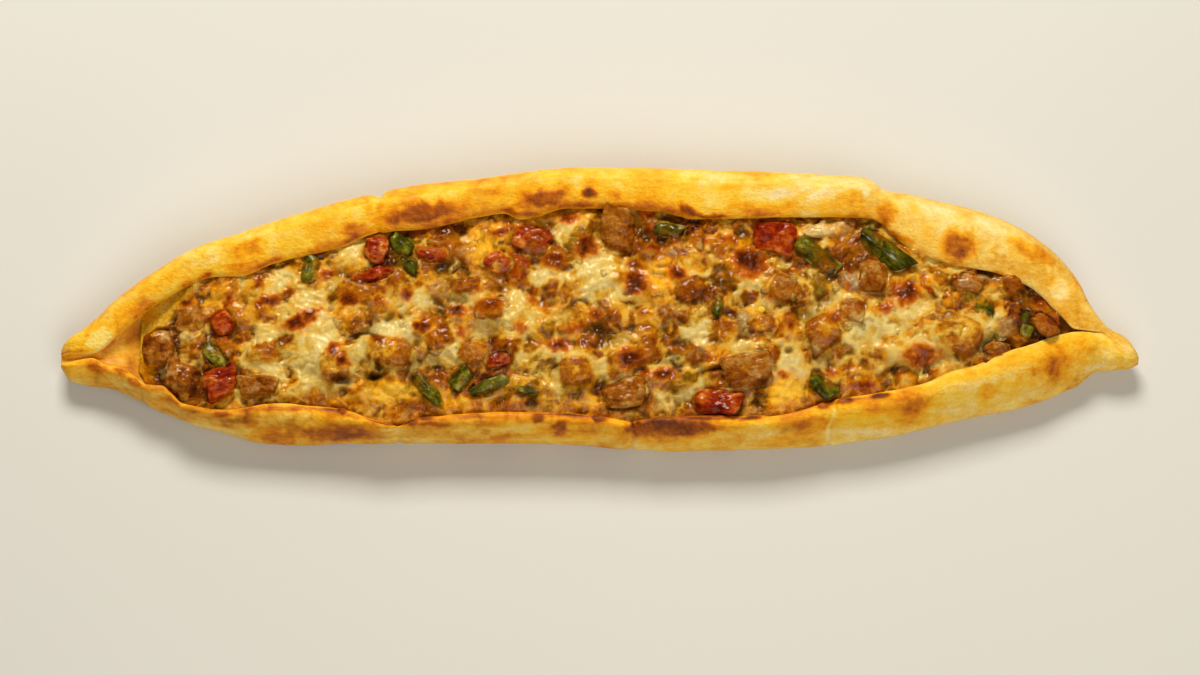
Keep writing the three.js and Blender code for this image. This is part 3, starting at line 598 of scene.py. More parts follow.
# a toasted bubble from its oily golden halo through orange to its dark red-brown middle
BUBBLE_STOPS = [(0.0, "#F0A81C"), (0.25, "#DC8408"), (0.45, "#BA5E04"), (0.7, "#8E3C00"), (1.0, "#5A1E00")]
# fat that has run out of the cheese and meat, over brown dice
GOLD_STOPS = [(0.0, "#803602"), (0.25, "#B05C04"), (0.5, "#D88408"), (0.75, "#F0A60E"), (1.0, "#F8C43A")]
# single colours: meat juice soaked into dough, an olive for clouded cheese and for painted shade in its low places,
# cheese over a piece, a seed of the pepper, and the filling's hidden side
JUICE, OLIVE_CLOUD_AND_SHADE, VEIL, SEED, HIDDEN = "#7A3C08", "#A09A50", "#C4A06C", "#FCE040", "#7A4A12"
# each kind of topping along its own colours
COLOURS = {
    # roast meat, browned outside: dull brown to a tan where it is cut
    "meat": [
        (0.0, "#421200"), (0.2, "#6C2C00"), (0.4, "#944804"), (0.6, "#B46A16"), (0.8, "#CC903E"), (1.0, "#E2BA78"),
    ],
    # ripe tomato, its skin wrinkled by the heat: dark red to orange
    "tomato": [(0.0, "#5A0A00"), (0.3, "#861C02"), (0.55, "#AA3404"), (0.8, "#CA5E10"), (1.0, "#E29040")],
    # long green pepper: dark green skin to a lighter, yellow flesh
    "pepper": [(0.0, "#1E1C00"), (0.3, "#3C3C02"), (0.55, "#5C5C0A"), (0.8, "#848018"), (1.0, "#B8AA54")],
    # softened onion and fat: a watery yellow to cream
    "onion": [(0.0, "#8A662A"), (0.3, "#B8924A"), (0.6, "#DCBE78"), (1.0, "#F2E2B4")],
}


def grained(tree, skin, noise, strength):
    """The skin's colour times 1 + strength * (noise - 0.5), more in green and most in blue: dark grains are browner."""
    off = add(tree, "ShaderNodeMath", {0: noise}, {1: 0.5}, operation="SUBTRACT")
    scaled = add(tree, "ShaderNodeMath", {0: off.outputs[0], 1: strength}, operation="MULTIPLY")
    factor = add(tree, "ShaderNodeVectorMath", {0: scaled.outputs[0]}, {1: (1, 1.35, 1.9), 2: (1, 1, 1)},
                 operation="MULTIPLY_ADD")
    return add(tree, "ShaderNodeVectorMath", {0: skin, 1: factor.outputs[0]}, operation="MULTIPLY").outputs[0]


def baked_dough():
    """Wheat dough baked in a hot oven and brushed with egg and butter, coloured by its points.

    Its skin is drawn out along the boat in fine streaks, has a grain of 1 mm and small pores, and shines more where
    it browned.
    """
    material, tree, place = new_material("baked_dough")
    skin = add(tree, "ShaderNodeAttribute", attribute_name="skin").outputs["Color"]
    bake = add(tree, "ShaderNodeAttribute", attribute_name="bake").outputs["Fac"]
    # grain 1.3 mm across, streaks 1.5 mm wide and 3 mm long
    grain = add(tree, "ShaderNodeTexNoise", {"Vector": place}, {"Scale": 800, "Detail": 4, "Roughness": 0.7})
    drawn = add(tree, "ShaderNodeMapping", {"Vector": place}, {"Scale": (0.5, 1, 1)})
    streak = add(tree, "ShaderNodeTexNoise", {"Vector": drawn.outputs[0]},
                 {"Scale": 650, "Detail": 4, "Roughness": 0.6, "Distortion": 0.6})
    both = add(tree, "ShaderNodeMath", {0: grain.outputs["Fac"], 1: streak.outputs["Fac"]}, operation="ADD")
    half = add(tree, "ShaderNodeMath", {0: both.outputs[0]}, {1: 0.5}, operation="MULTIPLY")
    # browned dough is grained more strongly
    strength = add(tree, "ShaderNodeMapRange", {"Value": bake},
                   {"From Min": 0.3, "From Max": 0.8, "To Min": 0.8, "To Max": 1.4})
    base = grained(tree, skin, half.outputs[0], strength.outputs[0])
    rough = add(tree, "ShaderNodeMapRange", {"Value": bake},
                {"From Min": 0.3, "From Max": 0.9, "To Min": 0.55, "To Max": 0.3})
    # pores: small round pits about 1 mm across, on some of the skin
    pores = add(tree, "ShaderNodeTexVoronoi", {"Vector": place}, {"Scale": 420, "Randomness": 1.0})
    pit = add(tree, "ShaderNodeMapRange", {"Value": pores.outputs["Distance"]},
              {"From Min": 0.06, "From Max": 0.3, "To Min": 0.0, "To Max": 0.2})
    heights = add(tree, "ShaderNodeMath", {0: both.outputs[0], 1: pit.outputs[0]}, operation="ADD")
    bump = add(tree, "ShaderNodeBump", {"Height": heights.outputs[0]}, {"Strength": 0.6, "Distance": 0.0008})
    shader = add(tree, "ShaderNodeBsdfPrincipled",
                 {"Base Color": base, "Roughness": rough.outputs[0], "Normal": bump.outputs[0]},
                 {"IOR": 1.45, "Specular IOR Level": 0.25, "Specular Tint": (1.0, 0.82, 0.55, 1),
                  "Subsurface Weight": 0.08, "Subsurface Radius": (0.0030, 0.0014, 0.0004),
                  "Subsurface Scale": 1.0, "Coat Weight": 0.08, "Coat Roughness": 0.25,
                  "Coat Tint": (1.0, 0.9, 0.66, 1)})
    add(tree, "ShaderNodeOutputMaterial", {"Surface": shader.outputs[0]})
    return material


def wet_food(name, gloss, fibre_scale, relief, scatter, coat):
    """Cooked food wet with fat, coloured by its points: a fine grain in its colour and relief, and a broken shine.

    Where its points are melted, its grain and relief are a third as strong. The shine is a thin coat of fat, smoother
    the smaller the gloss value.
    """
    material, tree, place = new_material(name)
    skin = add(tree, "ShaderNodeAttribute", attribute_name="skin").outputs["Color"]
    melted = add(tree, "ShaderNodeAttribute", attribute_name="melted").outputs["Fac"]
    # grain 1.2 mm across, and fibres 1 mm thick drawn out along the piece or across the bed
    grain = add(tree, "ShaderNodeTexNoise", {"Vector": place},
                {"Scale": 850, "Detail": 5, "Roughness": 0.7, "Distortion": 0.5})
    drawn = add(tree, "ShaderNodeMapping", {"Vector": place}, {"Scale": fibre_scale, "Rotation": (0, 0, 0.5)})
    fibre = add(tree, "ShaderNodeTexNoise", {"Vector": drawn.outputs[0]},
                {"Scale": 1000, "Detail": 4, "Roughness": 0.65, "Distortion": 1.5})
    strength = add(tree, "ShaderNodeMapRange", {"Value": melted}, {"To Min": 1.7, "To Max": 0.6})
    base = grained(tree, skin, grain.outputs["Fac"], strength.outputs[0])
    rough = add(tree, "ShaderNodeMapRange", {"Value": fibre.outputs["Fac"]},
                {"From Min": 0.3, "From Max": 0.7, "To Min": gloss, "To Max": gloss + 0.25})
    heights = add(tree, "ShaderNodeMath", {0: grain.outputs["Fac"], 1: fibre.outputs["Fac"]}, operation="ADD")
    uneven = add(tree, "ShaderNodeMapRange", {"Value": melted}, {"To Min": 0.9, "To Max": 0.3})
    bump = add(tree, "ShaderNodeBump", {"Height": heights.outputs[0], "Strength": uneven.outputs[0]},
               {"Distance": relief})
    shader = add(tree, "ShaderNodeBsdfPrincipled",
                 {"Base Color": base, "Roughness": rough.outputs[0], "Normal": bump.outputs[0]},
                 {"IOR": 1.46, "Specular IOR Level": 0.06, "Specular Tint": (1.0, 0.75, 0.45, 1),
                  "Subsurface Weight": scatter, "Subsurface Radius": (0.0026, 0.0011, 0.0003),
                  "Subsurface Scale": 1.0, "Coat Weight": coat, "Coat Roughness": 0.28 * gloss,
                  "Coat Tint": (1.0, 0.9, 0.66, 1)})
    add(tree, "ShaderNodeOutputMaterial", {"Surface": shader.outputs[0]})
    return material


DOUGH_SKIN = baked_dough()
# each: its name, gloss, how its fibres are squeezed along and across, relief in metres, scatter and coat of fat
FILLING = wet_food("melted_filling", 0.24, (0.6, 1.2, 1), 0.0012, 0.16, 0.32)
ROAST_MEAT = wet_food("roast_meat", 0.34, (0.5, 1.2, 1), 0.0011, 0.06, 0.18)
COOKED_TOMATO = wet_food("cooked_tomato", 0.42, (0.6, 1.4, 1), 0.0009, 0.12, 0.3)
COOKED_PEPPER = wet_food("cooked_pepper", 0.6, (0.5, 1.2, 1), 0.001, 0.06, 0.26)
SOFT_ONION = wet_food("soft_onion", 0.22, (0.5, 1, 1), 0.0004, 0.2, 0.4)

# ---- the bread

far_edge, far_lip = through(FAR_EDGE), through(FAR_LIP)
near_lip, near_edge = through(NEAR_LIP), through(NEAR_EDGE)
far_crest, near_crest = through(FAR_CREST), through(NEAR_CREST)
underside, openness, seam_depth = through(UNDERSIDE), through(OPEN), through(SEAM_DEPTH)
far_droop, near_notch = through(FAR_DROOP), through(NEAR_NOTCH)
fill_edge, mound = through(FILL_EDGE), through(MOUND)


def crease(side, x):
    """How far the creases pull the rim in: the sum of depth * exp(-((x - place) / reach)^2) over that side's."""
    return sum(depth * bell(x, place, reach) for rim, place, depth, reach in CREASES if rim == side)


def squeeze(x):
    """How small the rings are over the last mm of the tips: sqrt(1 - t^2), not below 0.3."""
    past = np.clip((np.abs(x) - (LENGTH / 2 - TIP)) / TIP, 0, 1)
    return np.maximum(0.3, np.sqrt(1 - past * past))


def outline(points):
    """Points (y, z), each of them an array along x, as one array of outlines."""
    return np.stack([np.stack(point, axis=-1) for point in points], axis=-2)


def hollow(x):
    """The hollow's outline at each x: 13 points (y, z) from the far lip's underside, over the floor, to the near one.

    Between the open boat and the sealed tips it blends towards a narrow groove between the lips.
    """
    far, near, lip_far, lip_near = far_edge(x), near_edge(x), far_lip(x), near_lip(x)
    base, high, low = underside(x), far_crest(x), near_crest(x)
    fold, lean = far - lip_far, lip_near - near
    floor, middle = base + FLOOR, (lip_far + lip_near) / 2
    far_corner, near_corner = far - DOUGH - 8.5, near + DOUGH + 7.5
    opened = outline([
        (lip_far + 0.07 * fold, high - 5.6),
        (lip_far + 0.34 * fold, high - 6.8),
        (far - DOUGH - 0.8, base + 0.48 * (high - base)),
        (far - DOUGH - 2.6, floor + 3.2),
        (far_corner, floor + 0.3),
        (lerp(middle, far_corner, 0.5), floor),
        (middle, floor),
        (lerp(middle, near_corner, 0.5), floor),
        (near_corner, floor + 0.3),
        (near + DOUGH + 1.8, floor + 3),
        (near + DOUGH + 0.12 * lean, base + 0.46 * (low - base)),
        (near + DOUGH * 0.8 + 0.36 * lean, base + 0.68 * (low - base)),
        (lip_near - 0.06 * lean, low - 3.4),
    ])
    across = (np.arange(13) + 1) / 14
    sealed_y = lerp(lip_far[..., None], lip_near[..., None], across)
    far_z, near_z = (high - far_droop(x))[..., None], (low - near_notch(x))[..., None]
    sealed_z = lerp(far_z, near_z, across) - seam_depth(x)[..., None] * np.sin(np.pi * across)
    return lerp(np.stack([sealed_y, sealed_z], axis=-1), opened, openness(x)[..., None, None])


def bread_ring(x):
    """The bread's outline at each x: 29 points (y, z), the outside from base to far lip, the hollow, the near rim."""
    far, foot = far_edge(x) - crease(1, x), near_edge(x)
    near = foot + crease(-1, x)
    lip_far, lip_near = far_lip(x), near_lip(x)
    base = underside(x)
    high, low = far_crest(x) - 0.6 * crease(1, x), near_crest(x) - 0.7 * crease(-1, x)
    fold, lean = far - lip_far, lip_near - near
    corner = np.minimum(1, (far - near) / 60)
    droop = far_droop(x)
    outer = outline([
        ((lip_far + lip_near) / 2, base),
        (far - 10 * corner, base),
        (far - 3 * corner, base + 0.13 * (high - base)),
        (far, base + 0.42 * (high - base)),
        (far - 0.1 * fold, base + 0.78 * (high - base)),
        (far - 0.34 * fold, high),
        (lip_far + 0.38 * fold, high - 0.18 * droop),
        (lip_far + 0.12 * fold, high - 0.55 * droop),
        (lip_far, high - droop),
    ])
    inner = outline([
        (lip_near, low - near_notch(x)),
        (near + 0.8 * lean, low),
        (near + 0.58 * lean, low - 1.2),
        (near + 0.26 * lean, base + 0.7 * (low - base)),
        (foot, base + 0.36 * (low - base)),
        (foot + 2.4 * corner, base + 0.1 * (low - base)),
        (foot + 8 * corner, base),
    ])
    ring = np.concatenate([outer, hollow(x), inner], axis=-2)
    small = squeeze(x)[..., None]
    centre_y, centre_z = ((far + near) / 2)[..., None], ((base + low) / 2)[..., None]
    return np.stack([lerp(centre_y, ring[..., 0], 0.6 + 0.4 * small), lerp(centre_z, ring[..., 1], small)], axis=-1)


def closed_line(ring):
    """Each ring of points made a smooth closed line, halfway between the spline through them and the one near them."""
    count = ring.shape[1]
    v = np.concatenate([i + np.arange(n) / n for i, n in enumerate(ROUND)])
    i, t = np.floor(v).astype(int), v - np.floor(v)
    passing = np.stack([-t + 2 * t**2 - t**3, 2 - 5 * t**2 + 3 * t**3, t + 4 * t**2 - 3 * t**3, t**3 - t**2]) / 2
    near = np.stack([(1 - t) ** 3, 3 * t**3 - 6 * t**2 + 4, -3 * t**3 + 3 * t**2 + 3 * t + 1, t**3]) / 6
    weights = np.zeros((len(v), count))
    for k in range(4):
        np.add.at(weights, (np.arange(len(v)), (i + k - 1) % count), (passing[k] + near[k]) / 2)
    return np.einsum("mk,nkc->nmc", weights, ring), v


def bread_form():
    """The crust's rings without relief, each point's place round its ring, and how far each ring is in the nub.

    The rings crowd towards the tips as a sine does. In the upper half of the nub they are drawn towards an ellipse:
    a point's offset from its middle, in half sizes, is brought near the length of 1, or of the tip's squeeze.
    """
    x = LENGTH / 2 * np.sin(np.linspace(-1, 1, BREAD_RINGS) * CROWDING) / math.sin(CROWDING)
    lines, v = closed_line(bread_ring(x))
    rings = np.concatenate([np.broadcast_to(x[:, None, None], (*lines.shape[:2], 1)), lines], axis=-1)
    nub = smooth(*NUB, x)[:, None]
    low = np.stack([near_edge(x), underside(x)], axis=-1)[:, None]
    high = np.stack([far_edge(x), far_crest(x)], axis=-1)[:, None]
    middle, half = (low + high) / 2, (high - low) / 2
    off = (rings[..., 1:] - middle) / half
    whole = squeeze(x)[:, None] / np.maximum(np.linalg.norm(off, axis=-1), 0.2)
    off = off * lerp(1.0, whole, 0.7 * nub * (off[..., 1] > 0))[..., None]
    rings[..., 1:] = middle + off * half
    return rings, v, nub


def sides(v):
    """Which places round the ring are on the far rim, on the near rim and wall, and outside the hollow."""
    return (v > 1.2) & (v < 8.8), (v > 21.2) & (v < 27.6), (v < 9.6) | (v > 21)


def bread_skin(rings, v, nub):
    """How far the crust is baked at each point, its colour, and how high its blisters stand.

    Baked: the levels round the ring and along the boat, noise, thin lines on both rims, and the browned spots, each
    adding its strength times 0.6 less 0.34 of the level there, less the pale patches. The levels hold painted light on
    the near lip's top and painted shade towards the right end; the pale patches are floury dough and painted highlights
    on the far crest. Coloured: as bare dough, or as glazed dough where the glaze, brushed on in strokes along the boat,
    is thick and where the dough is browned.
    Places v round the ring count as in BAKE_ROUND.
    """
    px, py = rings[..., 0], rings[..., 1]
    near_side = smooth(15, 20, v)
    is_far, is_near, outside = sides(v)
    # noise, of which the streaks are drawn out along the boat, more on the wall than on the rolled rim
    speckle = cloud(rings, 1.5, 6, 2, 0.8)
    torn = 0.2 * cloud(rings, 4.5, 7, 3, 0.6) + 0.03 * speckle
    drawn = rings.copy()
    drawn[..., 0] *= np.where(v > 15, 0.22, 0.6)
    streak = cloud(drawn, 3.2, 5, 4, 0.65)
    blotch = cloud(rings, 6.5, 21, 3, 0.65)
    patch = 2 * smooth(-0.22, 0.22, cloud(rings, 13, 25, 3, 0.5)) - 1
    vein = smooth(0.55, 1.0, ridges(rings, 11, 23, 3)) * smooth(-0.1, 0.4, cloud(rings, 16, 24, 2))
    # the picture's spots: each table's level, its growth, its drift along and across the boat, and where it shows
    drift_x, drift_y = cloud(rings, 9, 3, 4), cloud(rings, 7, 4, 4)
    far_spots, near_spots, wall_spots, pale = (
        spots(px + along * drift_x, py + across * drift_y, rows, level, 1.0, growth, torn) * shown
        for rows, level, growth, along, across, shown in (
            (RIM_SPOTS, 25, 1.15, 2.6, 1.6, is_far),
            (NEAR_SPOTS, 20.5, 1.1, 2.6, 0.5, between(v, 20.5, 21.1, 24, 25)),
            (WALL_SPOTS, 10, 1.2, 3.0, 1.0, is_near),
            (PALE_PATCHES, 22, 1.2, 2.6, 1.6, outside),
        ))

    # the levels round the ring and along the boat, with painted light on the near lip's top and painted shade at the
    # right end
    bake = lerp(through(BAKE_ROUND)(v), 0.3, nub) + through(BAKE_ALONG)(px) + 0.2 * cloud(rings, 20, 10, 3)
    bake = bake - 0.26 * between(px, 140, 180, 198, 208) * near_side - 0.12 * smooth(196, 206, px)
    bake = bake + (0.14 * streak + 0.15 * blotch) * lerp(1.0, 1.4, near_side)
    bake = bake + 0.05 * speckle + 0.05 * patch + 0.12 * vein
    # broken lines along the boat: browned above the far lip and on the near ridge, pale on the far lip's cut edge
    narrow = rings * (0.5, 0.2, 0.2)
    line = bell(v, 7.35, 0.4) * smooth(-0.2, 0.5, cloud(narrow, 9, 15, 3))
    cut_edge = bell(v, 8.2, 0.45) * smooth(0.35, -0.2, cloud(narrow, 11, 16, 2))
    near_line = bell(v, 22.45, 0.26) * smooth(-0.1, 0.3, cloud(rings * (0.4, 0.2, 0.2), 8, 27, 3))
    bake = bake + (0.3 * line * smooth(125, 100, px) - 0.25 * cut_edge) * (1 - nub)
    bake = bake - 0.12 * bell(v, 7.7, 0.8) * smooth(100, 130, px)
    bake = bake + 0.34 * near_line * between(px, -150, -100, 100, 130)
    # the near ridge is paler towards both tips; one crease is torn open and pale, another browned in its slit
    bake = bake - bell(v, 22.2, 0.8) * (0.1 * smooth(95, 130, px) + 0.06 * smooth(-120, -150, px))
    waver = 1.3 * np.sin(2.2 * v) + 0.8 * cloud(rings, 4, 26, 2)
    bake = bake - 0.4 * bell(px - waver, 91.5, 0.7) * between(v, 22.6, 23.2, 25.5, 26.5)
    bake = bake + 0.4 * bell(px, 12.8, 0.6) * between(v, 21, 21.6, 23, 24)
    stray = 0.3 * smooth(0.42, 0.75, cloud(rings, 17, 8, 3)) * ((v > 1.5) & (v < 3.4))
    beneath = 0.25 * smooth(0.1, 0.5, cloud(rings, 15, 9, 3)) * ((v < 1) | (v > 28))
    browned = np.maximum.reduce([far_spots, near_spots, wall_spots, stray, beneath])
    browned = browned * (1 + 0.12 * speckle + 0.35 * cloud(rings, 5.5, 18, 3, 0.6))
    # browned spots added; the pale patches, floury dough and painted highlights on the far crest, taken off
    bake = np.clip(bake + browned * (0.6 - 0.34 * bake) - pale, 0, 1)

    brushed = lerp(through(GLAZE_FAR)(px), through(GLAZE_NEAR)(px), near_side) + through(GLAZE_ROUND)(v) * (1 - nub)
    glazed = smooth(-0.4, 0.4, brushed + 0.9 * cloud(drawn, 6, 14, 4, 0.65) + 0.3 * streak)
    glazed = np.maximum(glazed, 0.8 * smooth(0.02, 0.2, browned))
    skin = tint(ramp(bake, DOUGH_STOPS), ramp(bake, GLAZE_STOPS), glazed)
    # meat juice has soaked into the hollow's right end
    juice = between(v, 9.4, 10.4, 19.6, 20.8) * between(px, 166, 176, 190, 197)
    skin = tint(skin, linear(JUICE), 0.75 * juice)
    return bake, skin, 0.7 * smooth(0.45, 1.0, np.maximum(far_spots, near_spots))


def bread():
    """The crust: its rings pushed out along their normals by swells, blisters and folds in the dough.

    The swells are 30, 11 and 3.5 mm long. A fold is a groove exp(-t^2) with a lower ridge beside it at t = 2.2.
    """
    rings, v, nub = bread_form()
    is_far, is_near, outside = sides(v)
    bake, skin, blister = bread_skin(rings, v, nub)
    px = rings[..., 0]
    swell = 0.55 * cloud(rings, 30, 11, 2) + 0.36 * cloud(rings, 11, 12, 2) + 0.12 * cloud(rings, 3.5, 13, 3)
    fold = 0.0
    for places, side in zip(FOLDS, (is_far, is_near)):
        for place, depth, reach in places:
            off = (px + 1.2 * np.sin(v * 1.3) - place) / reach
            fold = fold - side * depth * (np.exp(-off * off) - 0.35 * np.exp(-((off - 2.2) ** 2) / 2))
    tips = smooth(0, 12, LENGTH / 2 - np.abs(px))
    rings = rings + grid_normals(rings) * (((swell + blister + fold) * tips * outside)[..., None])
    rings[..., 2] = np.maximum(rings[..., 2], underside(px) * (v < 1.5))
    made = tube("bread_crust", rings, DOUGH_SKIN,
                {"bake": (bake, END_BAKE), "skin": (skin, ramp(END_BAKE, DOUGH_STOPS))})
    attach(made, "root")
    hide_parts("crust")


# ---- the filling

# The filling's sheet: its x along the boat, then y, height, share of cheese and colour at each of its points
Bed = namedtuple("Bed", "x y top cover skin")


def wall(x, z, side):
    """Where the hollow's wall stands at height z: side 1 is far, -1 near."""
    line = hollow(x)[:, 6::-1] if side > 0 else hollow(x)[:, 6:]
    above = line[..., 1] > z[:, None]
    at = np.where(above.any(axis=1), np.maximum(above.argmax(axis=1), 1), line.shape[1] - 1)
    rows = np.arange(len(x))
    low, high = line[rows, at - 1], line[rows, at]
    return lerp(low[:, 0], high[:, 0], (z - low[:, 1]) / (high[:, 1] - low[:, 1]))


def lump(x, y):
    """Bumps of meat on a jittered grid: the highest of (0.5 + 0.5 a) * (1 - r^2) over the nine nearest."""
    height = np.zeros(x.shape)
    for i, j, dx, dy in strewn(x, y, LUMP_STEP, 0.5, 0):
        off = np.hypot(dx, dy) / (LUMP_STEP * (0.42 + 0.2 * draw(i, j, 3)))
        height = np.maximum(height, (0.5 + 0.5 * draw(i, j, 4)) * np.maximum(0, 1 - off * off))
    return LUMP_HEIGHT * height


def fill_top(x, share):
    """The filling's top at each x and share from -1, the near wall, to 1, the far wall: edge + mound + lumps."""
    edge = fill_edge(x)
    far_y = wall(x, edge, 1) - WALL_GAP
    near_y = wall(x, edge, -1) + WALL_GAP
    y = lerp(near_y[:, None], far_y[:, None], (share + 1) / 2)
    wide_x = np.broadcast_to(x[:, None], y.shape)
    rise = mound(x)[:, None] * (1 - share * share) + lump(wide_x, y) * (1 - share ** 6)
    return y, edge[:, None] + rise


def fill_height(x, y):
    """The filling's top under one place."""
    x = np.atleast_1d(np.asarray(x, float))
    walls, _ = fill_top(x, np.array([[-1.0, 1.0]]))
    share = np.clip(2 * (y - walls[:, 0]) / (walls[:, 1] - walls[:, 0]) - 1, -1, 1)
    return fill_top(x, share[:, None])[1][0, 0]


def dice(x, y):
    """Dice strewn on two jittered grids, one coarse and one fine: their height, and the number in DICE and the
    brightness of the highest one.

    A die's top is a tilted plane inside a rounded square; t = 1 - (|u / a|^2.8 + |v / b|^2.8)^(1/2.8) runs from its
    edge inwards, and its height is the plane times 1 - (1 - t / 0.7)^2 up to t = 0.7.
    """
    height, bright = np.zeros(x.shape), np.zeros(x.shape)
    kind = np.zeros(x.shape, int)
    steps = np.cumsum([share for _, _, share in DICE])
    for step, least, greatest, rise, seed in DICE_LAYERS:
        for i, j, dx, dy in strewn(x, y, step, 0.76, seed):
            a = step * lerp(least, greatest, draw(i, j, seed + 4))
            b = a * (0.62 + 0.38 * draw(i, j, seed + 5))
            u, v = turned(dx, dy, math.pi * draw(i, j, seed + 3))
            u, v = u / a, v / b
            t = np.clip((1 - (np.abs(u) ** 2.8 + np.abs(v) ** 2.8) ** (1 / 2.8)) / 0.7, 0, 1)
            lean_u, lean_v = 0.8 * (draw(i, j, seed + 6) - 0.5), 0.8 * (draw(i, j, seed + 7) - 0.5)
            plane = rise * (0.45 + 0.55 * draw(i, j, seed + 8)) * (1 + lean_u * u + lean_v * v)
            top = plane * (1 - (1 - t) ** 2)
            wins = top > height
            height = np.where(wins, top, height)
            pick = np.minimum(np.searchsorted(steps / steps[-1], draw(i, j, seed + 9)), len(DICE) - 1)
            kind = np.where(wins, pick, kind)
            bright = np.where(wins, 0.3 * (draw(i, j, seed + 10) - 0.5), bright)
    return height, kind, bright


def footprint(x, y, row, power):
    """Distance from a topping's middle in units of its own half size: 1 on its outline in plan."""
    cx, cy, length, width, _, turn = row[:6]
    u, v = turned(x - cx, y - cy, math.radians(turn))
    return (np.abs(u / (length / 2)) ** power + np.abs(v / (width / 2)) ** power) ** (1 / power)


def draped(x, y, hill):
    """The hill fitted to the toppings, how near each kind of them is, and how bare of cheese they lie, from 0 to 1.

    Inside a topping's footprint the hill lies below its domed crown by what stands out of the cheese where the piece
    is bare, and up to 1.2 mm above the crown where cheese veils it.
    """
    flat = np.stack([x, y, np.zeros(y.shape)], axis=-1)
    rough = 0.8 * cloud(flat, 3.4, 42, 3)
    bared = np.zeros(x.shape)
    close = {}
    for kind, (rows, power, _, seat, proud) in KINDS.items():
        near = np.zeros(x.shape)
        for row in rows:
            veil = row[7]
            off = np.maximum(0, footprint(x, y, row, power) + 0.1 * rough)
            dome = np.maximum(0, 1 - off ** power) ** (1 / power)
            crown = fill_height(row[0], row[1]) + row[4] * (seat + 0.5 * dome)
            level = crown - lerp(proud, -1.2, veil) + rough
            hill = np.where(off < 1.12, lerp(level, np.maximum(hill, level), veil), hill)
            near = np.maximum(near, smooth(1.25, 0.95, off))
            bared = np.maximum(bared, (1 - veil) * smooth(1.5, 1.05, off))
        close[kind] = near
    return hill, close, bared


def under_filling(x, y):
    """The filling's hidden side from its far edge to its near one: the hollow's middle points, moved in by the gap."""
    middle = (y[:, :1] + y[:, -1:]) / 2
    line = hollow(x)[:, 3:10]
    below_y = line[..., 0] + np.sign(middle - line[..., 0]) * WALL_GAP
    below_z = np.minimum(line[..., 1] + WALL_GAP, fill_edge(x)[:, None] - 0.6)
    return np.stack([np.broadcast_to(x[:, None], below_y.shape), below_y, below_z], axis=-1)


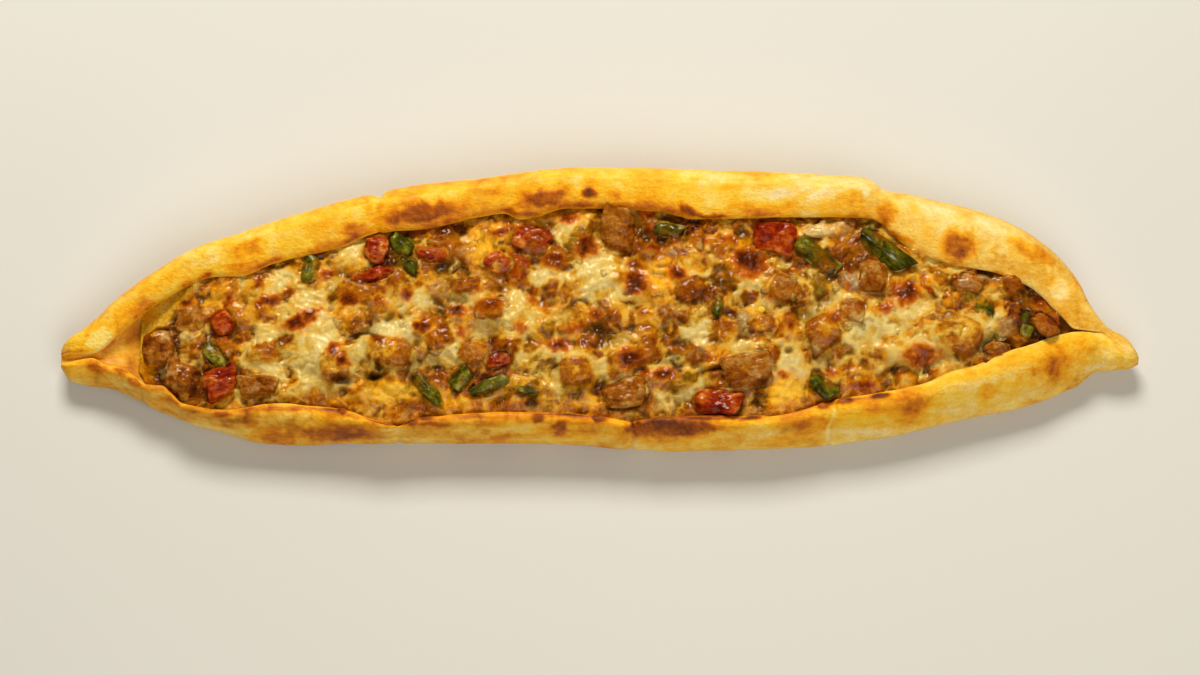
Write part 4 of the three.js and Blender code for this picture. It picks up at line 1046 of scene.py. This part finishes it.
def filling():
    """The filling's top as a fine sheet, closed along the hollow below it.

    Dice stand on the bed's own form. The cheese lies at the dice's blurred height plus its own thickness, which is
    greatest in the pools, and meets the dice in a soft maximum, ((a + b) + sqrt((a - b)^2 + k^2)) / 2. So it fills
    the valleys, thins up the dice's sides and leaves their tops bare. Toasted bubbles and pools of fat swell, and
    hollows dip. Melted places are smooth, the others wrinkled and stringy.

    Its colours are laid on each other at each point: the dice with painted light and shade by their relief, cheese by
    its thickness, clouded olive with painted shade in its low places, run fat, bubbles, the bare dough at the left end,
    paler towards the far wall as painted light, and painted shade in the clefts and hollows.
    """
    x = np.linspace(FILL_START, FILL_END, COLUMNS)
    share = np.linspace(-1, 1, ROWS)[None, :]
    y, form = fill_top(x, share)
    wide = np.broadcast_to(x[:, None], y.shape)
    flat = np.stack([wide, y, np.zeros(y.shape)], axis=-1)
    inner = 1 - share ** 6

    # noise from broad to fine, and noise along thin lines, most of it bent by a drift of 3.2 mm
    drift_x, drift_y = cloud(flat, 6.5, 31, 3, 0.6), cloud(flat, 6.5, 32, 3, 0.6)
    bent = flat + 3.2 * np.stack([drift_x, drift_y, np.zeros(y.shape)], axis=-1)
    broad = cloud(flat, 15, 38, 4)
    patchy = cloud(bent, 7, 44, 3, 0.65)
    mottle = cloud(bent, 3.0, 45, 3, 0.7)
    speckle = cloud(flat, 1.5, 46, 2, 0.8)
    web = ridges(bent, 12, 52, 3)
    strands = ridges(bent * (1, 1.2, 1), 6.2, 53, 3)
    wrinkle = ridges(bent * (1, 1.4, 1), 4.2, 39)
    strings = ridges(bent * (1.3, 1, 1), 2.2, 49)

    # what the picture shows at a place of its own, with drifting edges: each table's level, sharpness and growth
    cream = spots(wide + 3.4 * drift_x, y + 3.4 * drift_y, CREAM_POOLS, 18, 1.3)
    oil = spots(wide - 3.4 * drift_y, y + 3.4 * drift_x, OIL_POOLS, 17, 1.2, 1.2)
    thin = spots(wide + 3.4 * drift_x, y - 3.4 * drift_y, THIN_PLACES, 18, 1.2)
    hole = spots(wide, y, HOLLOWS, 19, 1.5, 1.25)
    bubble_x, bubble_y = wide + 2.2 * cloud(flat, 4.6, 36, 3), y + 2.2 * cloud(flat, 4.6, 37, 3)
    bubble = spots(bubble_x, bubble_y, TOASTED, 19, 0.95, 1.3)
    die, kind, bright = dice(bent[..., 0], bent[..., 1])

    # the left end lies bare, further along its far wall, and the cheese ends before the right end too
    start = wide - FILL_START
    reach = start - 0.7 * np.maximum(0, y + 14)
    ends = smooth(4, 24, reach + 3 * broad) * smooth(186, 165, wide)
    hill, close, bared = draped(wide, y, form + (die + 0.5 * mottle + 0.3 * wrinkle) * inner)
    torn = 1 - 0.75 * cream
    thick = -0.95 + 1.9 * cream - 1.3 * thin + 0.9 * broad + 0.8 * web + 0.6 * strands + 0.4 * wrinkle + 0.8 * patchy
    thick = thick - 1.2 * (1 - ends) - 0.4 * oil - 0.8 * bared
    level = lerp(blur(hill, 4.5), blur(hill, 8), cream) + thick + 0.25 * strings * torn
    level = level + 0.9 * bubble + 0.9 * np.minimum(oil, 1)
    top = (hill + level + np.sqrt((hill - level) ** 2 + CHEESE_SOFTNESS ** 2)) / 2 - 0.25 * CHEESE_SOFTNESS
    depth = np.clip(level - hill, -3, 3)
    peak = top - blur(top, 7)
    top = top - 3.0 * hole * inner
    for rows, power, *_ in KINDS.values():
        for row in rows:
            off = (footprint(wide, y, row, power) - 1) * min(row[2], row[3]) / 2
            top = top + FOOT_RISE * bell(np.maximum(off, 0), 0, FOOT_REACH) * inner
    melted = smooth(-0.1, 1.1, 0.6 * thick + 0.5 * depth + 0.9 * oil)
    top = top + (0.2 * speckle + 0.28 * strings + 0.2 * wrinkle) * inner * (1 - 0.82 * melted)
    dough = fill_edge(x)[:, None] - 0.9 + smooth(0, 10, start) * (0.7 + 1.4 * share + 0.3 * patchy)
    top = lerp(dough, top, smooth(0, 6, reach + 2 * patchy) * smooth(0, 4, start))

    # the dice, mottled, darker towards the right end and in the thin places, with painted light on their raised places
    # and painted shade in their clefts
    light = bright + 0.5 * patchy + 0.45 * mottle + 0.3 * speckle + 0.16 * wrinkle + 0.12 * np.clip(peak, -1.5, 1.5)
    light = light - 0.04 - 0.34 * smooth(158, 172, wide) - 0.34 * thin
    skin = np.zeros((*y.shape, 3))
    for number, (name, middle, _) in enumerate(DICE):
        skin = np.where((kind == number)[..., None], ramp(middle + light, COLOURS[name]), skin)
    for name, near in close.items():
        skin = tint(skin, ramp(0.4 + light, COLOURS[name]), near)
    # cheese: a thin film nearly everywhere, torn sheets where there is more, clouded olive here and there
    amount = 0.6 * thick + 0.5 * depth + (0.45 * mottle + 0.2 * speckle + 0.35 * patchy) * torn
    cover = 0.5 * smooth(-2.4, -0.4, amount) + 0.47 * smooth(-0.5, 0.5, amount)
    toast = 0.56 - 0.28 * smooth(-0.7, 0.5, amount) - 0.24 * smooth(0.4, 1.5, amount)
    toast = toast + (0.24 * patchy + 0.16 * mottle + 0.1 * speckle) * torn + 0.1 * broad
    toast = np.clip(toast + 0.25 * smooth(0.3, 0.8, cloud(flat, 10, 46, 2)), 0, 0.75)
    skin = tint(skin, ramp(toast, CHEESE_STOPS), cover * ends)
    clouded = 0.26 * smooth(0.15, 0.5, cloud(bent, 8, 51, 3)) * smooth(0.2, 1.2, amount)
    # painted shade: the olive clouding shows only in the cheese's low places
    skin = tint(skin, linear(OLIVE_CLOUD_AND_SHADE), clouded * smooth(0.5, -0.5, peak))
    # fat run into the low places and pools
    fat = smooth(0.0, 0.7, oil + 0.4 * cloud(bent, 9, 50, 3) + 0.25 * mottle - 0.2 * peak)
    fat = fat * (0.25 + 0.7 * np.minimum(oil, 1))
    skin = tint(skin, ramp(0.2 + 0.65 * oil + 0.3 * mottle + 0.2 * patchy + 0.15 * strings, GOLD_STOPS), fat)
    # toasted bubbles: golden round about, dark red-brown in the middle
    burnt = bubble * (1 + 0.4 * mottle + 0.3 * speckle)
    skin = tint(skin, ramp(1.2 * burnt - 0.05, BUBBLE_STOPS), smooth(0.05, 0.42, burnt))
    # bare dough where the filling begins, then painted shade: darker in the clefts, much darker in the hollows
    bare = 1 - smooth(3, 10, reach + 4 * patchy)
    # the bare dough is paler towards the far wall: painted light against the far rim's shadow
    crumb = 0.42 - 0.2 * smooth(-24, -8, y) + 0.2 * patchy + 0.1 * mottle + 0.1 * speckle
    skin = tint(skin, ramp(crumb, GLAZE_STOPS), bare)
    cleft_shade = smooth(-0.1, -1.5, peak) * (1 - 0.45 * melted) * (1 - 0.55 * bared) * (1 - bare) * (1 - 0.6 * cream)
    skin = skin * ((1 - 0.85 * hole) * (1 - 0.75 * cleft_shade))[..., None]

    below = under_filling(x, y)
    rings = np.concatenate([np.stack([wide, y, top], axis=-1), below], axis=1)
    dark = linear(HIDDEN)
    colours = np.concatenate([skin, np.broadcast_to(dark, below.shape)], axis=1)
    smoothness = np.concatenate([melted, np.zeros(below.shape[:2])], axis=1)
    made = tube("melted_filling", rings, FILLING, {"skin": (colours, dark), "melted": (smoothness, 0.0)})
    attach(made, "root")
    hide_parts("filling")
    return Bed(x, y, top, cover, skin)


def over_filling(points, bed):
    """How far points stand above the filling's sheet, and the sheet's colour under them."""
    column = (points[..., 0] - FILL_START) / (FILL_END - FILL_START) * (COLUMNS - 1)
    i = np.clip(np.rint(column), 0, COLUMNS - 1).astype(int)
    near, far = bed.y[i, 0], bed.y[i, -1]
    j = np.clip(np.rint((points[..., 1] - near) / (far - near) * (ROWS - 1)), 0, ROWS - 1).astype(int)
    return points[..., 2] - bed.top[i, j], bed.skin[i, j]


def cut_faces(way, seed, lean, corners, sharp):
    """How far a cut block reaches each way: (sum over its faces of max(0, way . n / d) ^ sharp) ^ (-1 / sharp).

    Its faces are six sides, d = 1 away, whose normals n lean by up to the given share, and corners cut off at 1.1 to
    1.4.
    """
    k = np.arange(6 + corners)
    stray = np.stack([draw(k, seed, 81), draw(k, seed, 82), draw(k, seed, 83)], axis=-1) * 2 - 1
    normal = np.concatenate([np.eye(3), -np.eye(3), np.sign(stray[6:]) * 0.7]) + lean * stray
    normal = normal / np.linalg.norm(normal, axis=1, keepdims=True)
    far = np.where(k < 6, 1.0, 1.1 + 0.3 * draw(k, seed, 84))
    return np.sum(np.maximum(0, way @ (normal / far[:, None]).T) ** sharp, axis=-1) ** (-1 / sharp)


def ball(columns, rows):
    """Directions from a ball's middle by latitude and longitude, its two poles last, and the faces between them."""
    longitude = np.linspace(0, 2 * math.pi, columns, endpoint=False)
    latitude = np.linspace(-math.pi / 2, math.pi / 2, rows + 2)[1:-1]
    lat, lon = np.meshgrid(latitude, longitude, indexing="ij")
    way = np.stack([np.cos(lat) * np.cos(lon), np.cos(lat) * np.sin(lon), np.sin(lat)], axis=-1)
    return np.concatenate([way.reshape(-1, 3), [[0, 0, -1], [0, 0, 1]]]), tube_faces(rows, columns)


def block(row, tilt, seat, seed, cut, rolled):
    """A cut block from longitude and latitude.

    Each direction goes out to the block's cut faces, takes its half sizes, arches up along its middle, is roughened
    by noise drawn out along its length, bends round a radius beyond its +Y side, then tilts, turns and stands on the
    filling.
    """
    lean, corners, sharp, arch, broad, fine = cut
    x0, y0, length, width, height, turn, bend, veil, _ = row
    way, faces = ball(*BLOCK_GRID)
    # rolled and veiled pieces have hardly any edges
    sharp = lerp(sharp, 3.5, max(veil, rolled))
    shape = way * cut_faces(way, seed, lean * (1 - 0.7 * rolled), corners, sharp)[:, None]
    shape[:, 2] -= arch * (shape[:, 1] ** 2 - 0.3)
    shape = shape * np.array([length, width, height]) / 2
    # each piece has noise of its own
    own = shape + np.array([31.0, 17.0, 5.0]) * seed
    grain = own * (0.45, 1, 1)
    rough = broad * cloud(own, 6.0, 50, 2) + fine * (cloud(grain, 2.6, 51, 2) + 0.5 * cloud(grain, 1.2, 52, 2))
    shape = shape + way * rough[:, None]
    if bend:
        radius = length / math.radians(bend)
        angle, reach = shape[:, 0] / radius, radius - shape[:, 1]
        shape = np.stack([reach * np.sin(angle), radius - reach * np.cos(angle), shape[:, 2]], axis=-1)
    px, pz = turned(shape[:, 0], shape[:, 2], math.radians(tilt * math.sin(7 * x0)))
    px, py = turned(px, shape[:, 1], -math.radians(turn))
    place = np.stack([px, py, pz], axis=-1) + np.array([x0, y0, fill_height(x0, y0) + seat * height])
    return place, way, own, rough, faces


def cooked_skin(place, own, stops, tone, swing, veil, upward, rough, bed):
    """A cooked piece's colours at its points: mottled by its own grain, with painted light where it bulges and painted
    shade in its hollows and on its sides that face down, with a torn film of cheese where it faces up, less near the
    right end, and cheese clinging to its foot in the colour it has there."""
    grain = own * (0.5, 1, 1)
    bent = own + 1.5 * cloud(own, 4, 60, 2)[..., None]
    light = 0.9 * cloud(grain, 3.8, 61, 3, 0.7) + 0.4 * cloud(own, 1.4, 62, 2) + 0.15 * ridges(grain, 2.4, 63)
    # painted light and shade from the relief: lighter where the piece bulges out, darker in its hollows
    light = swing * (light + np.clip(0.5 * rough, -0.4, 0.5)) + 0.05
    skin = ramp(tone + light, stops)
    torn = cloud(bent, 5.0, 64, 3, 0.65)
    film = smooth(-0.1, 0.45, torn + 1.2 * veil - 0.5) * (0.5 + 0.4 * veil) * smooth(-0.3, 0.6, upward)
    film = film * smooth(180, 160, place[..., 0])
    gold = ramp(0.34 + 0.5 * cloud(bent, 3.0, 65, 2) - 0.16 * veil, CHEESE_STOPS)
    gold = tint(gold, linear(VEIL), np.broadcast_to(0.7 * veil, film.shape))
    skin = tint(skin, gold, film)
    # painted shade: the sides that face down are darker
    skin = skin * lerp(0.55, 1.0, smooth(-0.5, 0.3, upward))[..., None]
    above, under = over_filling(place, bed)
    collar = smooth(1.0, 0.1, above - 0.7 * torn - 0.5 * veil)
    return tint(skin, under, 0.9 * collar)


# How each kind is cooked and cut: its finish, the seed before its first piece's, the swing of its colours, and its
# cut: how far its sides lean, how many corners are cut off, how sharp its edges are, how far it arches, and its
# broad and fine roughness in mm
COOKED = {
    "meat": (ROAST_MEAT, 160, 0.5, (0.3, 7, 12, 0.0, 0.7, 0.6)),
    "tomato": (COOKED_TOMATO, 240, 0.7, (0.26, 5, 7, 0.15, 0.9, 0.8)),
    "pepper": (COOKED_PEPPER, 240, 0.65, (0.34, 5, 15, 0.3, 0.5, 0.3)),
    "onion": (SOFT_ONION, 200, 0.5, (0.2, 4, 5, 0.2, 1.0, 0.4)),
}


def toppings(bed):
    """Each diced or cut topping as its own piece in place of its solid."""
    for kind, (material, seed, swing, cut) in COOKED.items():
        rows, _, tilt, seat, _ = KINDS[kind]
        for number, row in enumerate(rows, 1):
            veil, tone = row[7:]
            rolled = (kind, number) in ROLLED
            place, way, own, rough, faces = block(row, tilt, seat, seed + number, cut, rolled)
            skin = cooked_skin(place, own, COLOURS[kind], tone, swing, veil, way[:, 2], rough, bed)
            node = f"{kind}_{number:02d}"
            made = piece(f"cooked_{node}", place, faces, material, {"skin": skin})
            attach(made, "root")
            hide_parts(node)


def bits(bed, name, kind, count, seed, size, flatness, tone):
    """Many small bits of one kind, strewn over the filling: blocks (|u|^3.4 + |v|^3.4 + |w|^3.4 = 1) of a few dozen
    faces, uneven, leaning by up to 0.4 and sunk in by 0.6 of their half height. More of them are small than large."""
    number = np.arange(count)
    chance = [draw(number, k, seed) for k in range(9)]
    i = ((chance[1] * 0.94 + 0.04) * (COLUMNS - 1)).astype(int)
    j = ((0.5 + 0.9 * (chance[2] - 0.5)) * (ROWS - 1)).astype(int)
    centre = np.stack([bed.x[i], bed.y[i, j], bed.top[i, j]], axis=-1)
    length = lerp(*size, chance[3] ** 2)
    half = np.stack([length, length * (0.5 + 0.5 * chance[4]), length * flatness], axis=-1) / 2
    way, one = ball(*BIT_GRID)
    shape = way / np.sum(np.abs(way) ** 3.4, axis=-1, keepdims=True) ** (1 / 3.4)
    shape = shape[None] * half[:, None]
    own = shape + centre[:, None]
    shape = shape * (1 + 0.5 * cloud(own, 2.6, seed, 2)[..., None])
    px, pz = turned(shape[..., 0], shape[..., 2], 0.8 * (chance[6][:, None] - 0.5))
    px, py = turned(px, shape[..., 1], -2 * math.pi * chance[5][:, None])
    place = np.stack([px, py, pz], axis=-1) + centre[:, None]
    place[..., 2] -= 0.6 * half[:, None, 2]
    step = (number * len(way))[:, None, None]
    faces = [(f[None] + step).reshape(-1, f.shape[1]) for f in one]
    hue = lerp(*tone, chance[7])[:, None]
    veil = (0.6 * bed.cover[i, j] + 0.3 * chance[8])[:, None]
    skin = cooked_skin(place, own, COLOURS[kind], hue, 0.5, veil, way[:, 2][None], 0.0, bed)
    made = piece(name, place, faces, COOKED[kind][0], {"skin": skin})
    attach(made, "root")


def pepper_seed(bed):
    """One flat yellow seed of the pepper, an ellipsoid lying in the cheese where the picture shows it."""
    way, faces = ball(*SEED_GRID)
    x, y = plan(*SEED_AT)
    above, _ = over_filling(np.array([x, y, 0.0]), bed)
    place = way * SEED_HALF + np.array([x, y, 0.6 - above])
    skin = ramp(0.95 + 0.1 * cloud(place, 1.2, 66, 2), GOLD_STOPS)
    skin = tint(skin, linear(SEED), np.full(len(way), 0.6))
    made = piece("pepper_seed", place, faces, SOFT_ONION, {"skin": skin})
    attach(made, "root")


bread()
baked_bed = filling()
toppings(baked_bed)
pepper_seed(baked_bed)
bits(baked_bed, "meat_crumbs", "meat", 40, 71, (2.6, 6.0), 0.5, (0.25, 0.6))
bits(baked_bed, "pepper_flakes", "pepper", 46, 72, (1.8, 5.2), 0.35, (0.3, 0.7))
bits(baked_bed, "tomato_bits", "tomato", 22, 73, (2.2, 5.4), 0.4, (0.4, 0.7))


# ---- floor and light

def set_stage():
    """A plain pale floor, a strong soft light from the far side, a weaker, larger one from the near side, and an even
    warm air. Each light faces the middle of the food."""
    material, tree, place = new_material("pale_floor")
    speck = add(tree, "ShaderNodeTexNoise", {"Vector": place}, {"Scale": 3.0, "Detail": 2})
    pale = add(tree, "ShaderNodeValToRGB", {"Fac": speck.outputs["Fac"]})
    for element, code in zip(pale.color_ramp.elements, ("#D4D4D2", "#DADAD8")):
        element.color = (*linear(code), 1)
    shader = add(tree, "ShaderNodeBsdfPrincipled", {"Base Color": pale.outputs["Color"]}, {"Roughness": 0.8})
    add(tree, "ShaderNodeOutputMaterial", {"Surface": shader.outputs[0]})
    # 8 m square
    corners = np.array([[-1, -1, 0], [1, -1, 0], [1, 1, 0], [-1, 1, 0]]) * 4000.0
    floor = piece("floor", corners, [np.array([[0, 1, 2, 3]])], material)
    # each light's place and height in metres, and its power in watts
    for name, spot, height, power in (
        ("far_softbox", (-0.12, 1.05, 1.05), 0.42, 22.0),
        ("near_fill", (0.35, -0.75, 1.15), 0.9, 10.0),
    ):
        data = bpy.data.lights.new(name, "AREA")
        data.shape, data.size, data.size_y, data.energy = "RECTANGLE", height * 1.5, height, power
        data.color = (1.0, 0.94, 0.82)
        lamp = bpy.data.objects.new(name, data)
        lamp.location = spot
        away = np.array(spot) - AIM * 0.001
        flat = math.hypot(away[0], away[1])
        lamp.rotation_euler = (math.atan2(flat, away[2]), 0, math.atan2(away[1], away[0]) + math.pi / 2)
        bpy.context.collection.objects.link(lamp)
    world = bpy.data.worlds.new("studio_air")
    world.use_nodes = True
    air = world.node_tree.nodes["Background"]
    air.inputs["Color"].default_value = (1.0, 0.88, 0.68, 1)
    air.inputs["Strength"].default_value = 0.15
    bpy.context.scene.world = world
    bpy.context.scene.view_settings.view_transform = "Standard"


set_stage()
